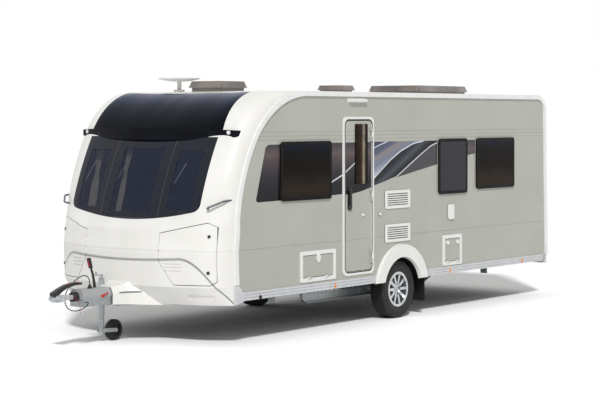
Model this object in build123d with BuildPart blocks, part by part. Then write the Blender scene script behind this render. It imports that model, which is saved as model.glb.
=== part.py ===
"""Travel caravan: sandwich-panel body on a galvanised single-axle chassis.

Millimetres. +X is the nearside (entrance door side), -Y is the front (hitch end) and +Z is up.
The origin is on the ground, midway between the tip of the coupling and the rear bumper.
Heights are measured from the ground and lengthwise places from the wheel centres, so the working
planes below all start at the axle.
"""
import os
from collections import namedtuple
from math import atan2, cos, degrees, hypot, pi, radians, sin, tan

from build123d import *

os.makedirs("parts", exist_ok=True)

# ---------------------------------------------------------------- driving dimensions
axle_y = 502.0             # wheel centres behind the origin
wall_x = 1120.0            # outer face of the side walls, half the body width
wall = 30.0                # thickness of every sandwich panel
rail_out = 20.0            # how far rails and skirts stand out of the walls
roof_z = 2505.0            # top of the roof panel
floor_z = 490.0            # top of the cabin floor
floor_thick = 40.0
wall_bottom = 452.0        # lower edge of the side walls
panel_gap = 2.0            # between panels that do not move
door_gap = 7.0             # round every door and hatch leaf
seat_gap = 0.3             # between a moving piece and what carries it

wheel_r = 319.0            # tyre 185 wide on a 14 inch rim
tyre_width = 185.0
rim_r = 190.0
wheel_x = 985.0            # middle of the tread, half the track

# side outline of the body: one row per section, places from the axle
Section = namedtuple("Section", "x hem low sill brow crown")
body_sections = [
    #        x     hem    low    sill   brow   crown radius
    Section(0.0, -3210, -3375, -3240, -2908, 910),
    Section(217.0, -3202, -3366, -3236, -2902, 898),
    Section(433.0, -3179, -3339, -3224, -2884, 861),
    Section(650.0, -3140, -3292, -3203, -2853, 800),
    Section(870.0, -3080, -3215, -3168, -2795, 700),
    Section(1000.0, -3010, -3140, -3095, -2763, 740),
    Section(1070.0, -2960, -3062, -3028, -2735, 820),
    Section(wall_x, -2915, -2925, -2898, -2660, 1050),
]
hem_z = 395.0              # lower edge of the front and rear mouldings
chin_z = 575.0             # under the locker doors
chin_set = 15.0
ridge_z = 905.0            # foremost crease of the front
lip_z = 1130.0             # front edge of the ledge under the window
lip_set = 25.0
sill_z = 1238.0            # foot of the front window
brow_angle = radians(30)   # lean of the front where the crown starts
rear_top_y = 3196.0
rear_low_y = 3240.0
rear_corner = 200.0
notch_half = 205.0         # gap in the front moulding for the arms of the drawbar
notch_top = 458.0
front_split = -2095.0      # joint of the front moulding and the roof panel
rear_split = 3095.0        # joint of the roof and the rear moulding
rear_split_z = 2400.0


# ---------------------------------------------------------------- working planes
def side(x):
    """Faces the nearside: local x runs aft from the axle, local y runs up."""
    return Plane(origin=(x, axle_y, 0), x_dir=(0, 1, 0), z_dir=(1, 0, 0))


def ahead(y):
    """Faces the front: local x runs to the nearside, local y runs up."""
    return Plane(origin=(0, axle_y + y, 0), x_dir=(1, 0, 0), z_dir=(0, -1, 0))


def level(z):
    """Faces up: local x runs to the nearside, local y runs aft from the axle."""
    return Plane(origin=(0, axle_y, z), x_dir=(1, 0, 0), z_dir=(0, 0, 1))


def save(builder, name):
    builder.part.label = name
    export_step(builder.part, f"parts/{name}.step")


# ---------------------------------------------------------------- body shell
def body_face(section, inset):
    """Side outline of the body at one section, moved in by inset; the underside stays open."""
    brow_z = roof_z - section.crown * (1 - sin(brow_angle))
    hem = (section.hem + 1.41 * inset, hem_z)
    chin = (section.low + chin_set + inset, chin_z + 0.41 * inset)
    ridge = (section.low + inset, ridge_z)
    lip = (section.low + lip_set + inset, lip_z - 0.41 * inset)
    sill = (section.sill + 0.90 * inset, sill_z - 0.51 * inset)
    brow = (section.brow + inset * cos(brow_angle), brow_z - inset * sin(brow_angle))
    crown = (section.brow + section.crown * cos(brow_angle), roof_z - inset)
    tail = (rear_top_y - rear_corner, roof_z - inset)
    tail_low = (rear_top_y - inset, roof_z - rear_corner)
    rear_hem = (rear_low_y - inset, hem_z)
    with BuildLine() as outline:
        Polyline(hem, chin, ridge, lip, sill)
        TangentArc(brow, sill, tangent=(-sin(brow_angle), -cos(brow_angle)))
        TangentArc(brow, crown, tangent=(sin(brow_angle), cos(brow_angle)))
        Line(crown, tail)
        TangentArc(tail, tail_low, tangent=(1, 0))
        Polyline(tail_low, rear_hem, hem)
    make_face(outline.edges())


def both_sides(sections):
    """The sections from offside to nearside."""
    mirrored = [s._replace(x=-s.x) for s in reversed(sections) if s.x]
    return mirrored + list(sections)


def body_skin(thickness):
    """The hollow skin of front, roof and rear, open at the sides and below."""
    with BuildPart() as skin:
        for section in both_sides(body_sections):
            with BuildSketch(side(section.x)):
                body_face(section, 0)
        loft()
        for section in both_sides(body_sections):
            with BuildSketch(side(section.x)):
                body_face(section, thickness)
        loft(mode=Mode.SUBTRACT)
    return skin.part


def body_hull():
    """The whole body as one solid, to trim what lies on its surface."""
    with BuildPart() as hull:
        for section in both_sides(body_sections):
            with BuildSketch(side(section.x)):
                body_face(section, 0)
        loft()
    return hull.part


skin = body_skin(wall)
pane_thick = 9.0
pane_skin = body_skin(pane_thick)
groove_deep = 8.0          # louvres and air slots moulded into the front
groove_skin = body_skin(groove_deep)
hull = body_hull()

# front window: bowed foot, sides leaning in a little, head under the visor
window_half = 866.0
window_foot_z = 1222.0
window_corner_z = 1322.0
window_head_z = 2035.0
window_corner = 85.0
window_gap = 3.0


def front_window_face(grow):
    with BuildLine() as outline:
        ThreePointArc(
            (-window_half - grow, window_corner_z - grow),
            (0, window_foot_z - grow),
            (window_half + grow, window_corner_z - grow),
        )
        Polyline(
            (window_half + grow, window_corner_z - grow),
            (window_half + grow, window_head_z + grow),
            (-window_half - grow, window_head_z + grow),
            (-window_half - grow, window_corner_z - grow),
        )
    make_face(outline.edges())
    fillet(outline.vertices().sort_by(Axis.Y)[:2], window_corner)


# glazed crown over the window
crown_foot_z = 2070.0
crown_foot_half = 895.0
crown_head_z = 2480.0
crown_head_half = 850.0
crown_end = -2330.0


def crown_face(grow):
    with BuildLine() as outline:
        Polyline(
            (-crown_foot_half - grow, crown_foot_z - grow),
            (crown_foot_half + grow, crown_foot_z - grow),
            (crown_head_half + grow, crown_head_z),
            (crown_head_half + grow, roof_z + 50),
            (-crown_head_half - grow, roof_z + 50),
            (-crown_head_half - grow, crown_head_z),
            close=True,
        )
    make_face(outline.edges())


# front locker doors: outline of the nearside one, from the hinge edge round
locker_outline = [
    # x, z
    (494, 1102),
    (494, 821),
    (648, 594),
    (1000, 594),
    (1048, 630),
    (1048, 1165),
    (965, 1210),
]
front_reach = 1700.0       # how far aft the cuts made from the front go


def locker_face(shrink):
    with BuildLine() as outline:
        Polyline(*locker_outline, close=True)
    make_face(outline.edges())
    if shrink:
        offset(amount=-shrink, kind=Kind.INTERSECTION)


# ---------------------------------------------------------------- front locker doors
locker_hinge_x = 494 + door_gap / 2     # hinge line in the gap along the inner edge
locker_hinge_y = -3332.0
knuckle_r = 3.1
knuckle_long = 24.0
locker_knuckles = [832, 930]            # foot of each hinge, z


def knuckle(z, flank, towards):
    """One knuckle of a locker hinge on one flank, with its web to the edge inboard or outboard of it."""
    with BuildSketch(level(z)) as profile:
        with Locations((flank * locker_hinge_x, locker_hinge_y)):
            Circle(knuckle_r)
            Rectangle(door_gap / 2 + 0.5, 26, align=(Align.MIN if flank * towards > 0 else Align.MAX, Align.MIN))
    extrude(profile.sketch, amount=knuckle_long)


def cut_from_front(aft_to, mode=Mode.SUBTRACT):
    """Extrude the sketch on the front plane back to a place aft of it."""
    extrude(amount=-(aft_to - front_plane_y), mode=mode)


front_plane_y = -3600.0    # sketches of the front are drawn ahead of the body

louvre_rows = [800.0, 766.0, 732.0]
louvre_x = 640.0
louvre_long = 180.0
louvre_high = 12.0
air_slot_x = 875.0
air_slot_z = 470.0


def louvres():
    with BuildSketch(ahead(front_plane_y)) as rows:
        for z in louvre_rows:
            with Locations((louvre_x, z)):
                SlotOverall(louvre_long, louvre_high)
    return rows.sketch


def air_slots():
    with BuildSketch(ahead(front_plane_y)) as slots:
        for flank in (-1, 1):
            with Locations((flank * air_slot_x, air_slot_z)):
                RectangleRounded(250, 60, 20)
    return slots.sketch


def groove(sketch):
    """What the sketch takes out of the front, one depth behind its surface."""
    with BuildPart() as cutter:
        add(groove_skin)
        extrude(sketch, amount=-(-2600 - front_plane_y), mode=Mode.INTERSECT)
    return cutter.part


with BuildPart() as front_panel:
    add(skin)
    with BuildSketch(side(-wall_x - 10)):
        with BuildLine():
            Polyline(
                (front_plane_y, 300), (-2700, 300), (-2700, 1850), (-2600, 1960), (front_split, 2200),
                (front_split, roof_z + 100), (front_plane_y, roof_z + 100), close=True,
            )
        make_face()
    extrude(amount=2 * wall_x + 20, mode=Mode.INTERSECT)
    with BuildSketch(ahead(front_plane_y)):
        front_window_face(window_gap)
    cut_from_front(-2500)
    with BuildSketch(ahead(front_plane_y)):
        crown_face(panel_gap)
    cut_from_front(crown_end + panel_gap)
    with BuildSketch(ahead(front_plane_y)):
        locker_face(0)
        mirror(about=Plane.YZ)
    cut_from_front(-2600)
    with BuildSketch(ahead(front_plane_y)):
        with Locations((0, notch_top)):
            Rectangle(2 * notch_half, 200, align=(Align.CENTER, Align.MAX))
    cut_from_front(-2600)
    add(groove(air_slots()), mode=Mode.SUBTRACT)
    for z in locker_knuckles:
        for flank in (-1, 1):
            knuckle(z, flank, -1)
            knuckle(z + 2 * (knuckle_long + 0.6), flank, -1)
save(front_panel, "front_panel")

with BuildPart() as front_skylight:
    add(skin)
    with BuildSketch(ahead(front_plane_y)):
        crown_face(0)
    cut_from_front(crown_end, Mode.INTERSECT)
save(front_skylight, "front_skylight")

with BuildPart() as front_window:
    add(pane_skin)
    with BuildSketch(ahead(front_plane_y)):
        front_window_face(0)
    cut_from_front(-2500, Mode.INTERSECT)
save(front_window, "front_window")

# visor across the top of the front window
visor_foot_z = 2008.0
visor_head_z = 2128.0
visor_half = 1062.0
visor_recess_half = 800.0
visor_recess_deep = 12.0
with BuildPart() as front_visor:
    with BuildSketch(level(visor_foot_z)):
        with BuildLine():
            ThreePointArc((-visor_half, -2795), (0, -2962), (visor_half, -2795))
            Polyline((visor_half, -2795), (visor_half, -2600), (-visor_half, -2600), (-visor_half, -2795))
        make_face()
    extrude(amount=visor_head_z - visor_foot_z)
    with BuildSketch(ahead(front_plane_y)):
        with BuildLine():
            ThreePointArc((-visor_half, 2104), (0, visor_head_z), (visor_half, 2104))
            Line((visor_half, 2104), (visor_half, 2046))
            Line((visor_half, 2046), (930, visor_foot_z))
            Line((930, visor_foot_z), (-930, visor_foot_z))
            Line((-930, visor_foot_z), (-visor_half, 2046))
            Line((-visor_half, 2046), (-visor_half, 2104))
        make_face()
    cut_from_front(-2500, Mode.INTERSECT)
    add(hull, mode=Mode.SUBTRACT)
    # lens-shaped recess along the face, one depth behind its curve
    with BuildPart(mode=Mode.PRIVATE) as recess:
        with BuildSketch(level(visor_foot_z)):
            with BuildLine():
                ThreePointArc((-visor_half, -2795), (0, -2962), (visor_half, -2795))
                Line((visor_half, -2795), (visor_half, -2795 + visor_recess_deep))
                ThreePointArc(
                    (visor_half, -2795 + visor_recess_deep), (0, -2962 + visor_recess_deep),
                    (-visor_half, -2795 + visor_recess_deep),
                )
                Line((-visor_half, -2795 + visor_recess_deep), (-visor_half, -2795))
            make_face()
        extrude(amount=visor_head_z - visor_foot_z)
        with BuildSketch(ahead(front_plane_y)):
            with BuildLine():
                ThreePointArc((-visor_recess_half, 2062), (0, 2098), (visor_recess_half, 2062))
                ThreePointArc((visor_recess_half, 2062), (0, 2040), (-visor_recess_half, 2062))
            make_face()
        cut_from_front(-2500, Mode.INTERSECT)
    add(recess.part, mode=Mode.SUBTRACT)
save(front_visor, "front_visor")

def locker_door():
    """The nearside front locker door, its free edge bevelled to swing clear of the moulding."""
    with BuildPart() as door:
        add(skin)
        with BuildSketch(ahead(front_plane_y)):
            locker_face(door_gap)
        cut_from_front(-2600, Mode.INTERSECT)
        with BuildSketch(level(hem_z)):
            with BuildLine():
                Polyline((1041, -3110), (1041, -3076), (960, -2960), (1100, -2960), (1100, -3110), close=True)
            make_face()
        extrude(amount=1000, mode=Mode.SUBTRACT)
        for z in locker_knuckles:
            knuckle(z + knuckle_long + 0.6, 1, 1)
    return door.part


with BuildPart() as locker_door_near:
    add(locker_door())
    add(groove(louvres()), mode=Mode.SUBTRACT)
save(locker_door_near, "locker_door_near")
with BuildPart() as locker_door_off:
    add(locker_door_near.part.mirror(Plane.YZ))
save(locker_door_off, "locker_door_off")

# ---------------------------------------------------------------- roof, rear and floor
with BuildPart() as roof_panel:
    add(skin)
    with BuildSketch(side(-wall_x - 10)):
        with BuildLine():
            Polyline(
                (front_split + panel_gap, 2200), (rear_split - panel_gap, 2200),
                (rear_split - panel_gap, roof_z + 100), (front_split + panel_gap, roof_z + 100), close=True,
            )
        make_face()
    extrude(amount=2 * wall_x + 20, mode=Mode.INTERSECT)
save(roof_panel, "roof_panel")

rear_lamp_x = 960.0
rear_lamp_low = 700.0
rear_lamp_high = 1120.0
with BuildPart() as rear_panel:
    add(skin)
    with BuildSketch(side(-wall_x - 10)):
        with BuildLine():
            Polyline((rear_split, 300), (3400, 300), (3400, roof_z + 100), (rear_split, roof_z + 100), close=True)
        make_face()
    extrude(amount=2 * wall_x + 20, mode=Mode.INTERSECT)
save(rear_panel, "rear_panel")

# wheel openings are round the wheel, a little ahead of its centre
arch_y = -23.0
arch_z = 315.0
arch_r = 360.0
arch_trim_r = 516.0
arch_trim_z = 417.0
box_r = 395.0              # wheel boxes that close the openings from inside
box_skin = 8.0
box_inner_x = 800.0

floor_front_y = -2850.0
floor_nose_y = -3140.0
floor_half = wall_x - wall - seat_gap
with BuildPart() as floor_panel:
    with BuildSketch(level(floor_z - floor_thick)):
        with BuildLine():
            ThreePointArc((-floor_half, floor_front_y), (0, floor_nose_y), (floor_half, floor_front_y))
            Polyline(
                (floor_half, floor_front_y), (floor_half, rear_low_y - wall - 6),
                (-floor_half, rear_low_y - wall - 6), (-floor_half, floor_front_y),
            )
        make_face()
        for flip in (-1, 1):
            with Locations((flip * (box_inner_x - panel_gap + floor_half) / 2, arch_y)):
                Rectangle(
                    floor_half - box_inner_x + panel_gap + 0.5, 2 * (box_r + panel_gap), mode=Mode.SUBTRACT
                )
    extrude(amount=floor_thick)
save(floor_panel, "floor_panel")

with BuildPart() as wheel_boxes:
    with BuildSketch(side(box_inner_x)):
        with Locations((arch_y, arch_z)):
            Circle(box_r)
        with Locations((arch_y, arch_z)):
            Rectangle(2 * box_r + 10, wall_bottom - arch_z, align=(Align.CENTER, Align.MIN), mode=Mode.SUBTRACT)
            Rectangle(2 * box_r + 10, 2 * box_r, align=(Align.CENTER, Align.MAX), mode=Mode.SUBTRACT)
    extrude(amount=wall_x - seat_gap - box_inner_x)
    with BuildSketch(side(box_inner_x + box_skin)):
        with Locations((arch_y, arch_z)):
            Circle(box_r - box_skin)
    extrude(amount=wall_x - box_inner_x, mode=Mode.SUBTRACT)
    mirror(about=Plane.YZ)
save(wheel_boxes, "wheel_boxes")

# ---------------------------------------------------------------- side walls and their openings
Opening = namedtuple("Opening", "fore aft low high")
near_windows = [
    #       fore    aft    low   high, outer edge of the pane
    Opening(-2201, -1344, 1384, 1984),
    Opening(720, 1329, 1351, 1984),
    Opening(1537, 2407, 1385, 1984),
]
off_windows = [
    Opening(-2201, -1344, 1384, 1984),
    Opening(-760, 60, 1480, 1984),
    Opening(1000, 1870, 1385, 1984),
    Opening(2680, 2980, 1560, 1984),
]
pane_corner = 42.0
pane_lap = 25.0            # overlap of a pane over the opening in the wall
door_outline = Opening(-1127, -562, 546, 2238)
door_corner = 62.0
door_trim = 38.0           # width of the door frame seen from outside
frame_lap = 8.0            # overlap of frames over their openings
side_locker = Opening(-1868, -1258, 535, 853)
cassette_hatch = Opening(818, 1224, 523, 873)
hatch_trim = 42.0
hatch_corner = 18.0


def place(opening, grow, corner):
    """Rounded rectangle of an opening, in a sketch on a side plane."""
    width = opening.aft - opening.fore + 2 * grow
    height = opening.high - opening.low + 2 * grow
    with Locations(((opening.fore + opening.aft) / 2, (opening.low + opening.high) / 2)):
        RectangleRounded(width, height, max(corner + grow, 4))


def side_wall(windows, doors):
    with BuildPart() as plate:
        with BuildSketch(side(wall_x)):
            body_face(body_sections[-1], wall + panel_gap)
            with Locations((0, wall_bottom)):
                Rectangle(8000, 400, align=(Align.CENTER, Align.MAX), mode=Mode.SUBTRACT)
            with Locations((arch_y, arch_z)):
                Circle(box_r + panel_gap, mode=Mode.SUBTRACT)
        extrude(amount=-wall)
        with BuildSketch(side(wall_x)):
            for window in windows:
                place(window, -pane_lap, pane_corner)
            for opening in doors:
                place(opening, -frame_lap, door_corner if opening is door_outline else hatch_corner)
        extrude(amount=-wall, mode=Mode.SUBTRACT)
    return plate.part


with BuildPart() as side_wall_near:
    add(side_wall(near_windows, [door_outline, side_locker, cassette_hatch]))
save(side_wall_near, "side_wall_near")
with BuildPart() as side_wall_off:
    add(side_wall(off_windows, []).mirror(Plane.YZ))
save(side_wall_off, "side_wall_off")

# windows: a proud acrylic pane on a frame that lines the opening
pane_stand = 9.0           # depth of the frame outside the wall
pane_depth = 10.0
liner_width = 16.0


def side_window(window):
    with BuildPart() as unit:
        with BuildSketch(side(wall_x)):
            place(window, -4, pane_corner)
        extrude(amount=pane_stand)
        with BuildSketch(side(wall_x - wall)):
            place(window, -pane_lap - 1, pane_corner)
        extrude(amount=wall)
        with BuildSketch(side(wall_x - wall)):
            place(window, -pane_lap - liner_width, pane_corner)
        extrude(amount=wall + pane_stand, mode=Mode.SUBTRACT)
        with BuildSketch(side(wall_x + pane_stand)):
            place(window, 0, pane_corner)
        extrude(amount=pane_depth)
    return unit.part


with BuildPart() as side_windows:
    for window in near_windows:
        add(side_window(window))
    for window in off_windows:
        add(side_window(window).mirror(Plane.YZ))
save(side_windows, "side_windows")

# ---------------------------------------------------------------- entrance door
frame_proud = 11.0
leaf_proud = 5.0
leaf_thick = 30.0
door_hinge_x = 1140.0
door_hinge_y = -607.0
door_leaf = Opening(
    door_outline.fore + door_trim + door_gap, door_hinge_y - 2,
    door_outline.low + door_trim + door_gap, door_outline.high - door_trim - door_gap,
)
door_pane = Opening(-910, -683, 1518, 2161)
door_knuckles = [(700, 760), (1370, 1430), (2020, 2080)]   # frame half of each hinge, z
door_knuckle_r = 6.5


def barrel(x, y, radius, low, high):
    """A round bar on end, added to the part being built."""
    with BuildSketch(level(low)) as disc:
        with Locations((x, y)):
            Circle(radius)
    extrude(disc.sketch, amount=high - low)


with BuildPart() as door_frame:
    with BuildSketch(side(wall_x)):
        place(door_outline, 0, door_corner)
    extrude(amount=frame_proud)
    with BuildSketch(side(wall_x - wall)):
        place(door_outline, -frame_lap - 1, door_corner)
    extrude(amount=wall)
    with BuildSketch(side(wall_x - wall)):
        place(door_outline, -door_trim, door_corner)
    extrude(amount=wall + frame_proud, mode=Mode.SUBTRACT)
    for low, high in door_knuckles:
        barrel(door_hinge_x, door_hinge_y, door_knuckle_r, low, high)
        with BuildSketch(level(low)):
            with Locations((door_hinge_x, door_hinge_y)):
                Rectangle(9.5, 30, align=(Align.MAX, Align.MIN))
        extrude(amount=high - low)
save(door_frame, "door_frame")

with BuildPart() as entrance_door:
    with BuildSketch(side(wall_x + leaf_proud - leaf_thick)):
        place(door_leaf, 0, door_corner - door_trim)
    extrude(amount=leaf_thick)
    with BuildSketch(side(wall_x + leaf_proud - leaf_thick)):
        place(door_pane, -12, 14)
    extrude(amount=leaf_thick, mode=Mode.SUBTRACT)
    for low, high in door_knuckles:
        for foot, head in ((low - 40, low - 0.6), (high + 0.6, high + 40)):
            barrel(door_hinge_x, door_hinge_y, door_knuckle_r, foot, head)
            with BuildSketch(level(foot)):
                with Locations((door_hinge_x, door_hinge_y)):
                    Rectangle(15.5, 34, align=(Align.MAX, Align.MAX))
            extrude(amount=head - foot)
save(entrance_door, "entrance_door")

with BuildPart() as door_window:
    with BuildSketch(side(wall_x + leaf_proud)):
        place(door_pane, 0, 14)
    extrude(amount=9)
    with BuildSketch(side(wall_x + leaf_proud - leaf_thick)):
        place(door_pane, -13, 14)
    extrude(amount=leaf_thick)
    with BuildSketch(side(wall_x + leaf_proud - leaf_thick)):
        place(door_pane, -28, 14)
    extrude(amount=leaf_thick, mode=Mode.SUBTRACT)
save(door_window, "door_window")

# handle and the knob that the wall clip holds
door_handle_y = -1010.0
door_knob_y = -768.0
door_knob_z = 1184.0
with BuildPart() as door_handle:
    with BuildSketch(side(wall_x + leaf_proud)):
        with Locations((door_handle_y, 1360)):
            SlotOverall(240, 66, rotation=90)
    extrude(amount=14)
    with BuildSketch(side(wall_x + leaf_proud + 14)):
        with Locations((door_handle_y - 4, 1375)):
            SlotOverall(170, 30, rotation=90)
    extrude(amount=13)
    with BuildSketch(side(wall_x + leaf_proud)):
        with Locations((door_knob_y, door_knob_z)):
            Circle(16)
    extrude(amount=18, taper=12)
save(door_handle, "door_handle")

# ---------------------------------------------------------------- service hatches in the nearside wall
hatch_hinge_x = 1140.0
hatch_leaf_thick = 22.0
hatch_knuckle_r = 6.0
hatch_knuckles = [-0.30, 0.20]     # places of the hinges, as parts of the hatch's width
hatch_knuckle_long = 36.0


def hatch_leaf(outline):
    """Outline of the leaf inside a hatch frame."""
    return Opening(
        outline.fore + hatch_trim + door_gap, outline.aft - hatch_trim - door_gap,
        outline.low + hatch_trim + door_gap, outline.high - hatch_trim - door_gap,
    )


def hatch_hinge_z(outline):
    return outline.low + hatch_trim + door_gap / 2


def cross_bar(x, z, radius, fore, aft):
    """A round bar lying fore and aft, added to the part being built."""
    with BuildSketch(ahead(aft)) as disc:
        with Locations((x, z)):
            Circle(radius)
    extrude(disc.sketch, amount=aft - fore)


def hatch_frame(outline):
    with BuildPart() as frame:
        with BuildSketch(side(wall_x)):
            place(outline, 0, hatch_corner)
        extrude(amount=frame_proud)
        with BuildSketch(side(wall_x - wall)):
            place(outline, -frame_lap - 1, hatch_corner)
        extrude(amount=wall)
        with BuildSketch(side(wall_x - wall)):
            place(outline, -hatch_trim, hatch_corner)
        extrude(amount=wall + frame_proud, mode=Mode.SUBTRACT)
        middle = (outline.fore + outline.aft) / 2
        width = outline.aft - outline.fore
        for share in hatch_knuckles:
            start = middle + share * width - hatch_knuckle_long / 2
            cross_bar(hatch_hinge_x, hatch_hinge_z(outline), hatch_knuckle_r, start, start + hatch_knuckle_long)
            with BuildSketch(ahead(start + hatch_knuckle_long)):
                with Locations((hatch_hinge_x, hatch_hinge_z(outline))):
                    Rectangle(9.5, 16, align=(Align.MAX, Align.MAX))
            extrude(amount=hatch_knuckle_long)
    return frame.part


def hatch_door(outline):
    leaf = hatch_leaf(outline)
    with BuildPart() as door:
        with BuildSketch(side(wall_x + leaf_proud - hatch_leaf_thick)):
            place(leaf, 0, 8)
        extrude(amount=hatch_leaf_thick)
        middle = (outline.fore + outline.aft) / 2
        width = outline.aft - outline.fore
        for share in hatch_knuckles:
            start = middle + share * width + hatch_knuckle_long / 2 + 0.6
            cross_bar(hatch_hinge_x, hatch_hinge_z(outline), hatch_knuckle_r, start, start + hatch_knuckle_long)
            with BuildSketch(ahead(start + hatch_knuckle_long)):
                with Locations((hatch_hinge_x, hatch_hinge_z(outline))):
                    Rectangle(15.5, 24, align=(Align.MAX, Align.MIN))
            extrude(amount=hatch_knuckle_long)
    return door.part


with BuildPart() as hatch_frames:
    for outline in (side_locker, cassette_hatch):
        add(hatch_frame(outline))
save(hatch_frames, "hatch_frames")
with BuildPart() as side_locker_door:
    add(hatch_door(side_locker))
save(side_locker_door, "side_locker_door")
with BuildPart() as cassette_door:
    add(hatch_door(cassette_hatch))
save(cassette_door, "cassette_door")

# ---------------------------------------------------------------- wall fittings
vent_proud = 11.0
vents = [Opening(-348, 143, 1227, 1427), Opening(-348, 143, 858, 1055)]
vent_slots = 6
service_point = Opening(922, 1042, 1055, 1225)
clip_y = -451.0
clip_z = 1178.0
with BuildPart() as wall_fittings:
    for vent in vents:
        with BuildSketch(side(wall_x)):
            place(vent, 0, 20)
        extrude(amount=vent_proud)
        with BuildSketch(side(wall_x + vent_proud)):
            with Locations(((vent.fore + vent.aft) / 2, (vent.low + vent.high) / 2)):
                with GridLocations(0, 24, 1, vent_slots):
                    Rectangle(400, 11)
        extrude(amount=-7, mode=Mode.SUBTRACT)
    with BuildSketch(side(wall_x)):
        place(service_point, 0, 26)
    extrude(amount=22)
    with BuildSketch(side(wall_x)):
        with Locations((clip_y, clip_z)):
            Circle(17)
    extrude(amount=24, taper=12)
save(wall_fittings, "wall_fittings")

awning_lamp_span = Opening(-1037, -716, 2388, 2436)
with BuildPart() as awning_lamp:
    with BuildSketch(side(wall_x)):
        place(awning_lamp_span, 0, 10)
    extrude(amount=44, taper=14)
save(awning_lamp, "awning_lamp")

# wheel-arch trims
with BuildPart() as arch_trims:
    with BuildSketch(side(wall_x)):
        with Locations((arch_y, arch_z)):
            Circle(arch_trim_r)
            Circle(arch_r, mode=Mode.SUBTRACT)
            with Locations((0, arch_trim_z - arch_z)):
                Rectangle(1200, 1200, align=(Align.CENTER, Align.MAX), mode=Mode.SUBTRACT)
    extrude(amount=34, taper=16)
    mirror(about=Plane.YZ)
save(arch_trims, "arch_trims")

# edge rails along front, roof and rear of each side wall
rail_width = 52.0
skirt_top = 512.0
skirt_foot = 433.0
corner_top = 590.0         # top of the corner pieces ahead of the skirts
with BuildPart() as edge_rails:
    with BuildSketch(side(wall_x)):
        body_face(body_sections[-1], 0)
        with BuildSketch(side(wall_x), mode=Mode.PRIVATE) as inner:
            body_face(body_sections[-1], rail_width)
        add(inner.sketch_local, mode=Mode.SUBTRACT)
        with Locations((0, skirt_top)):
            Rectangle(8000, 400, align=(Align.CENTER, Align.MAX), mode=Mode.SUBTRACT)
        with Locations((-2700, corner_top + panel_gap)):
            Rectangle(800, 400, align=Align.MAX, mode=Mode.SUBTRACT)
    extrude(amount=rail_out)
    mirror(about=Plane.YZ)
save(edge_rails, "edge_rails")

# skirts under the walls, in two lengths each side, ribbed along
skirt_runs = [(-2790, -540), (496, 3112)]
with BuildPart() as skirts:
    for fore, aft in skirt_runs:
        with BuildSketch(ahead(aft)):
            with Locations((wall_x, skirt_foot)):
                Rectangle(rail_out, skirt_top - skirt_foot - 1, align=Align.MIN)
            for z in (skirt_foot + 22, skirt_foot + 52):
                with Locations((wall_x + rail_out, z)):
                    Rectangle(6, 6, align=(Align.MAX, Align.MIN), mode=Mode.SUBTRACT)
        extrude(amount=aft - fore)
    # corner pieces that end the skirts at the front
    with BuildSketch(side(wall_x)):
        with BuildLine():
            Polyline(
                (-2922, corner_top), (-2922, 398), (-2793, 420), (-2793, 511), (-2868, corner_top), close=True,
            )
        make_face()
    extrude(amount=rail_out + 4, taper=8)
    mirror(about=Plane.YZ)
save(skirts, "skirts")

marker_y = [-1279, 949, 2591]
with BuildPart() as side_markers:
    with BuildSketch(side(wall_x + rail_out)):
        for y in marker_y:
            with Locations((y, 470)):
                RectangleRounded(72, 15, 3)
    extrude(amount=6)
    mirror(about=Plane.YZ)
save(side_markers, "side_markers")

with BuildPart() as rear_lamps:
    with BuildSketch(ahead(rear_low_y - 28)):
        with Locations((rear_lamp_x, (rear_lamp_low + rear_lamp_high) / 2)):
            RectangleRounded(150, rear_lamp_high - rear_lamp_low, 30)
    extrude(amount=-28 - 16)
    mirror(about=Plane.YZ)
    add(rear_panel.part.moved(Location((0, seat_gap, 0))), mode=Mode.SUBTRACT)
save(rear_lamps, "rear_lamps")

# grab handles: bars on two feet, round the front corners and across the rear ones
bar_r = 10.0
with BuildPart() as grab_handles:
    with BuildLine() as route:
        FilletPolyline(
            (945, axle_y - 3090, 1340), (975, axle_y - 3160, 1350), (1085, axle_y - 3040, 1415),
            (1100, axle_y - 2930, 1425), radius=22,
        )
    with BuildSketch(Plane(origin=route.line @ 0, z_dir=route.line % 0)):
        Circle(bar_r)
    sweep()
    add(hull, mode=Mode.SUBTRACT)
    with BuildLine() as rear_route:
        FilletPolyline(
            (860, axle_y + rear_low_y - 30, 1300), (860, axle_y + rear_low_y + 34, 1300),
            (1060, axle_y + rear_low_y + 34, 1300), (1060, axle_y + rear_low_y - 30, 1300), radius=22,
        )
    with BuildSketch(Plane(origin=rear_route.line @ 0, z_dir=rear_route.line % 0)):
        Circle(bar_r)
    sweep()
    add(hull, mode=Mode.SUBTRACT)
    mirror(about=Plane.YZ)
save(grab_handles, "grab_handles")

# ---------------------------------------------------------------- roof fittings
Hatch = namedtuple("Hatch", "x y width length height")
roof_hatches = [
    #      x    y     width length height
    Hatch(0, -1841, 400, 440, 110),
    Hatch(0, 280, 290, 290, 96),
    Hatch(0, 2010, 700, 1100, 112),
]
with BuildPart() as rooflights:
    for hatch in roof_hatches:
        with BuildSketch(level(roof_z)):
            with Locations((hatch.x, hatch.y)):
                RectangleRounded(hatch.width, hatch.length, 40)
        extrude(amount=40)
        with BuildSketch(level(roof_z + 40)):
            with Locations((hatch.x, hatch.y)):
                RectangleRounded(hatch.width + 60, hatch.length + 60, 60)
        extrude(amount=hatch.height - 40, taper=25)
save(rooflights, "rooflights")

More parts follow.
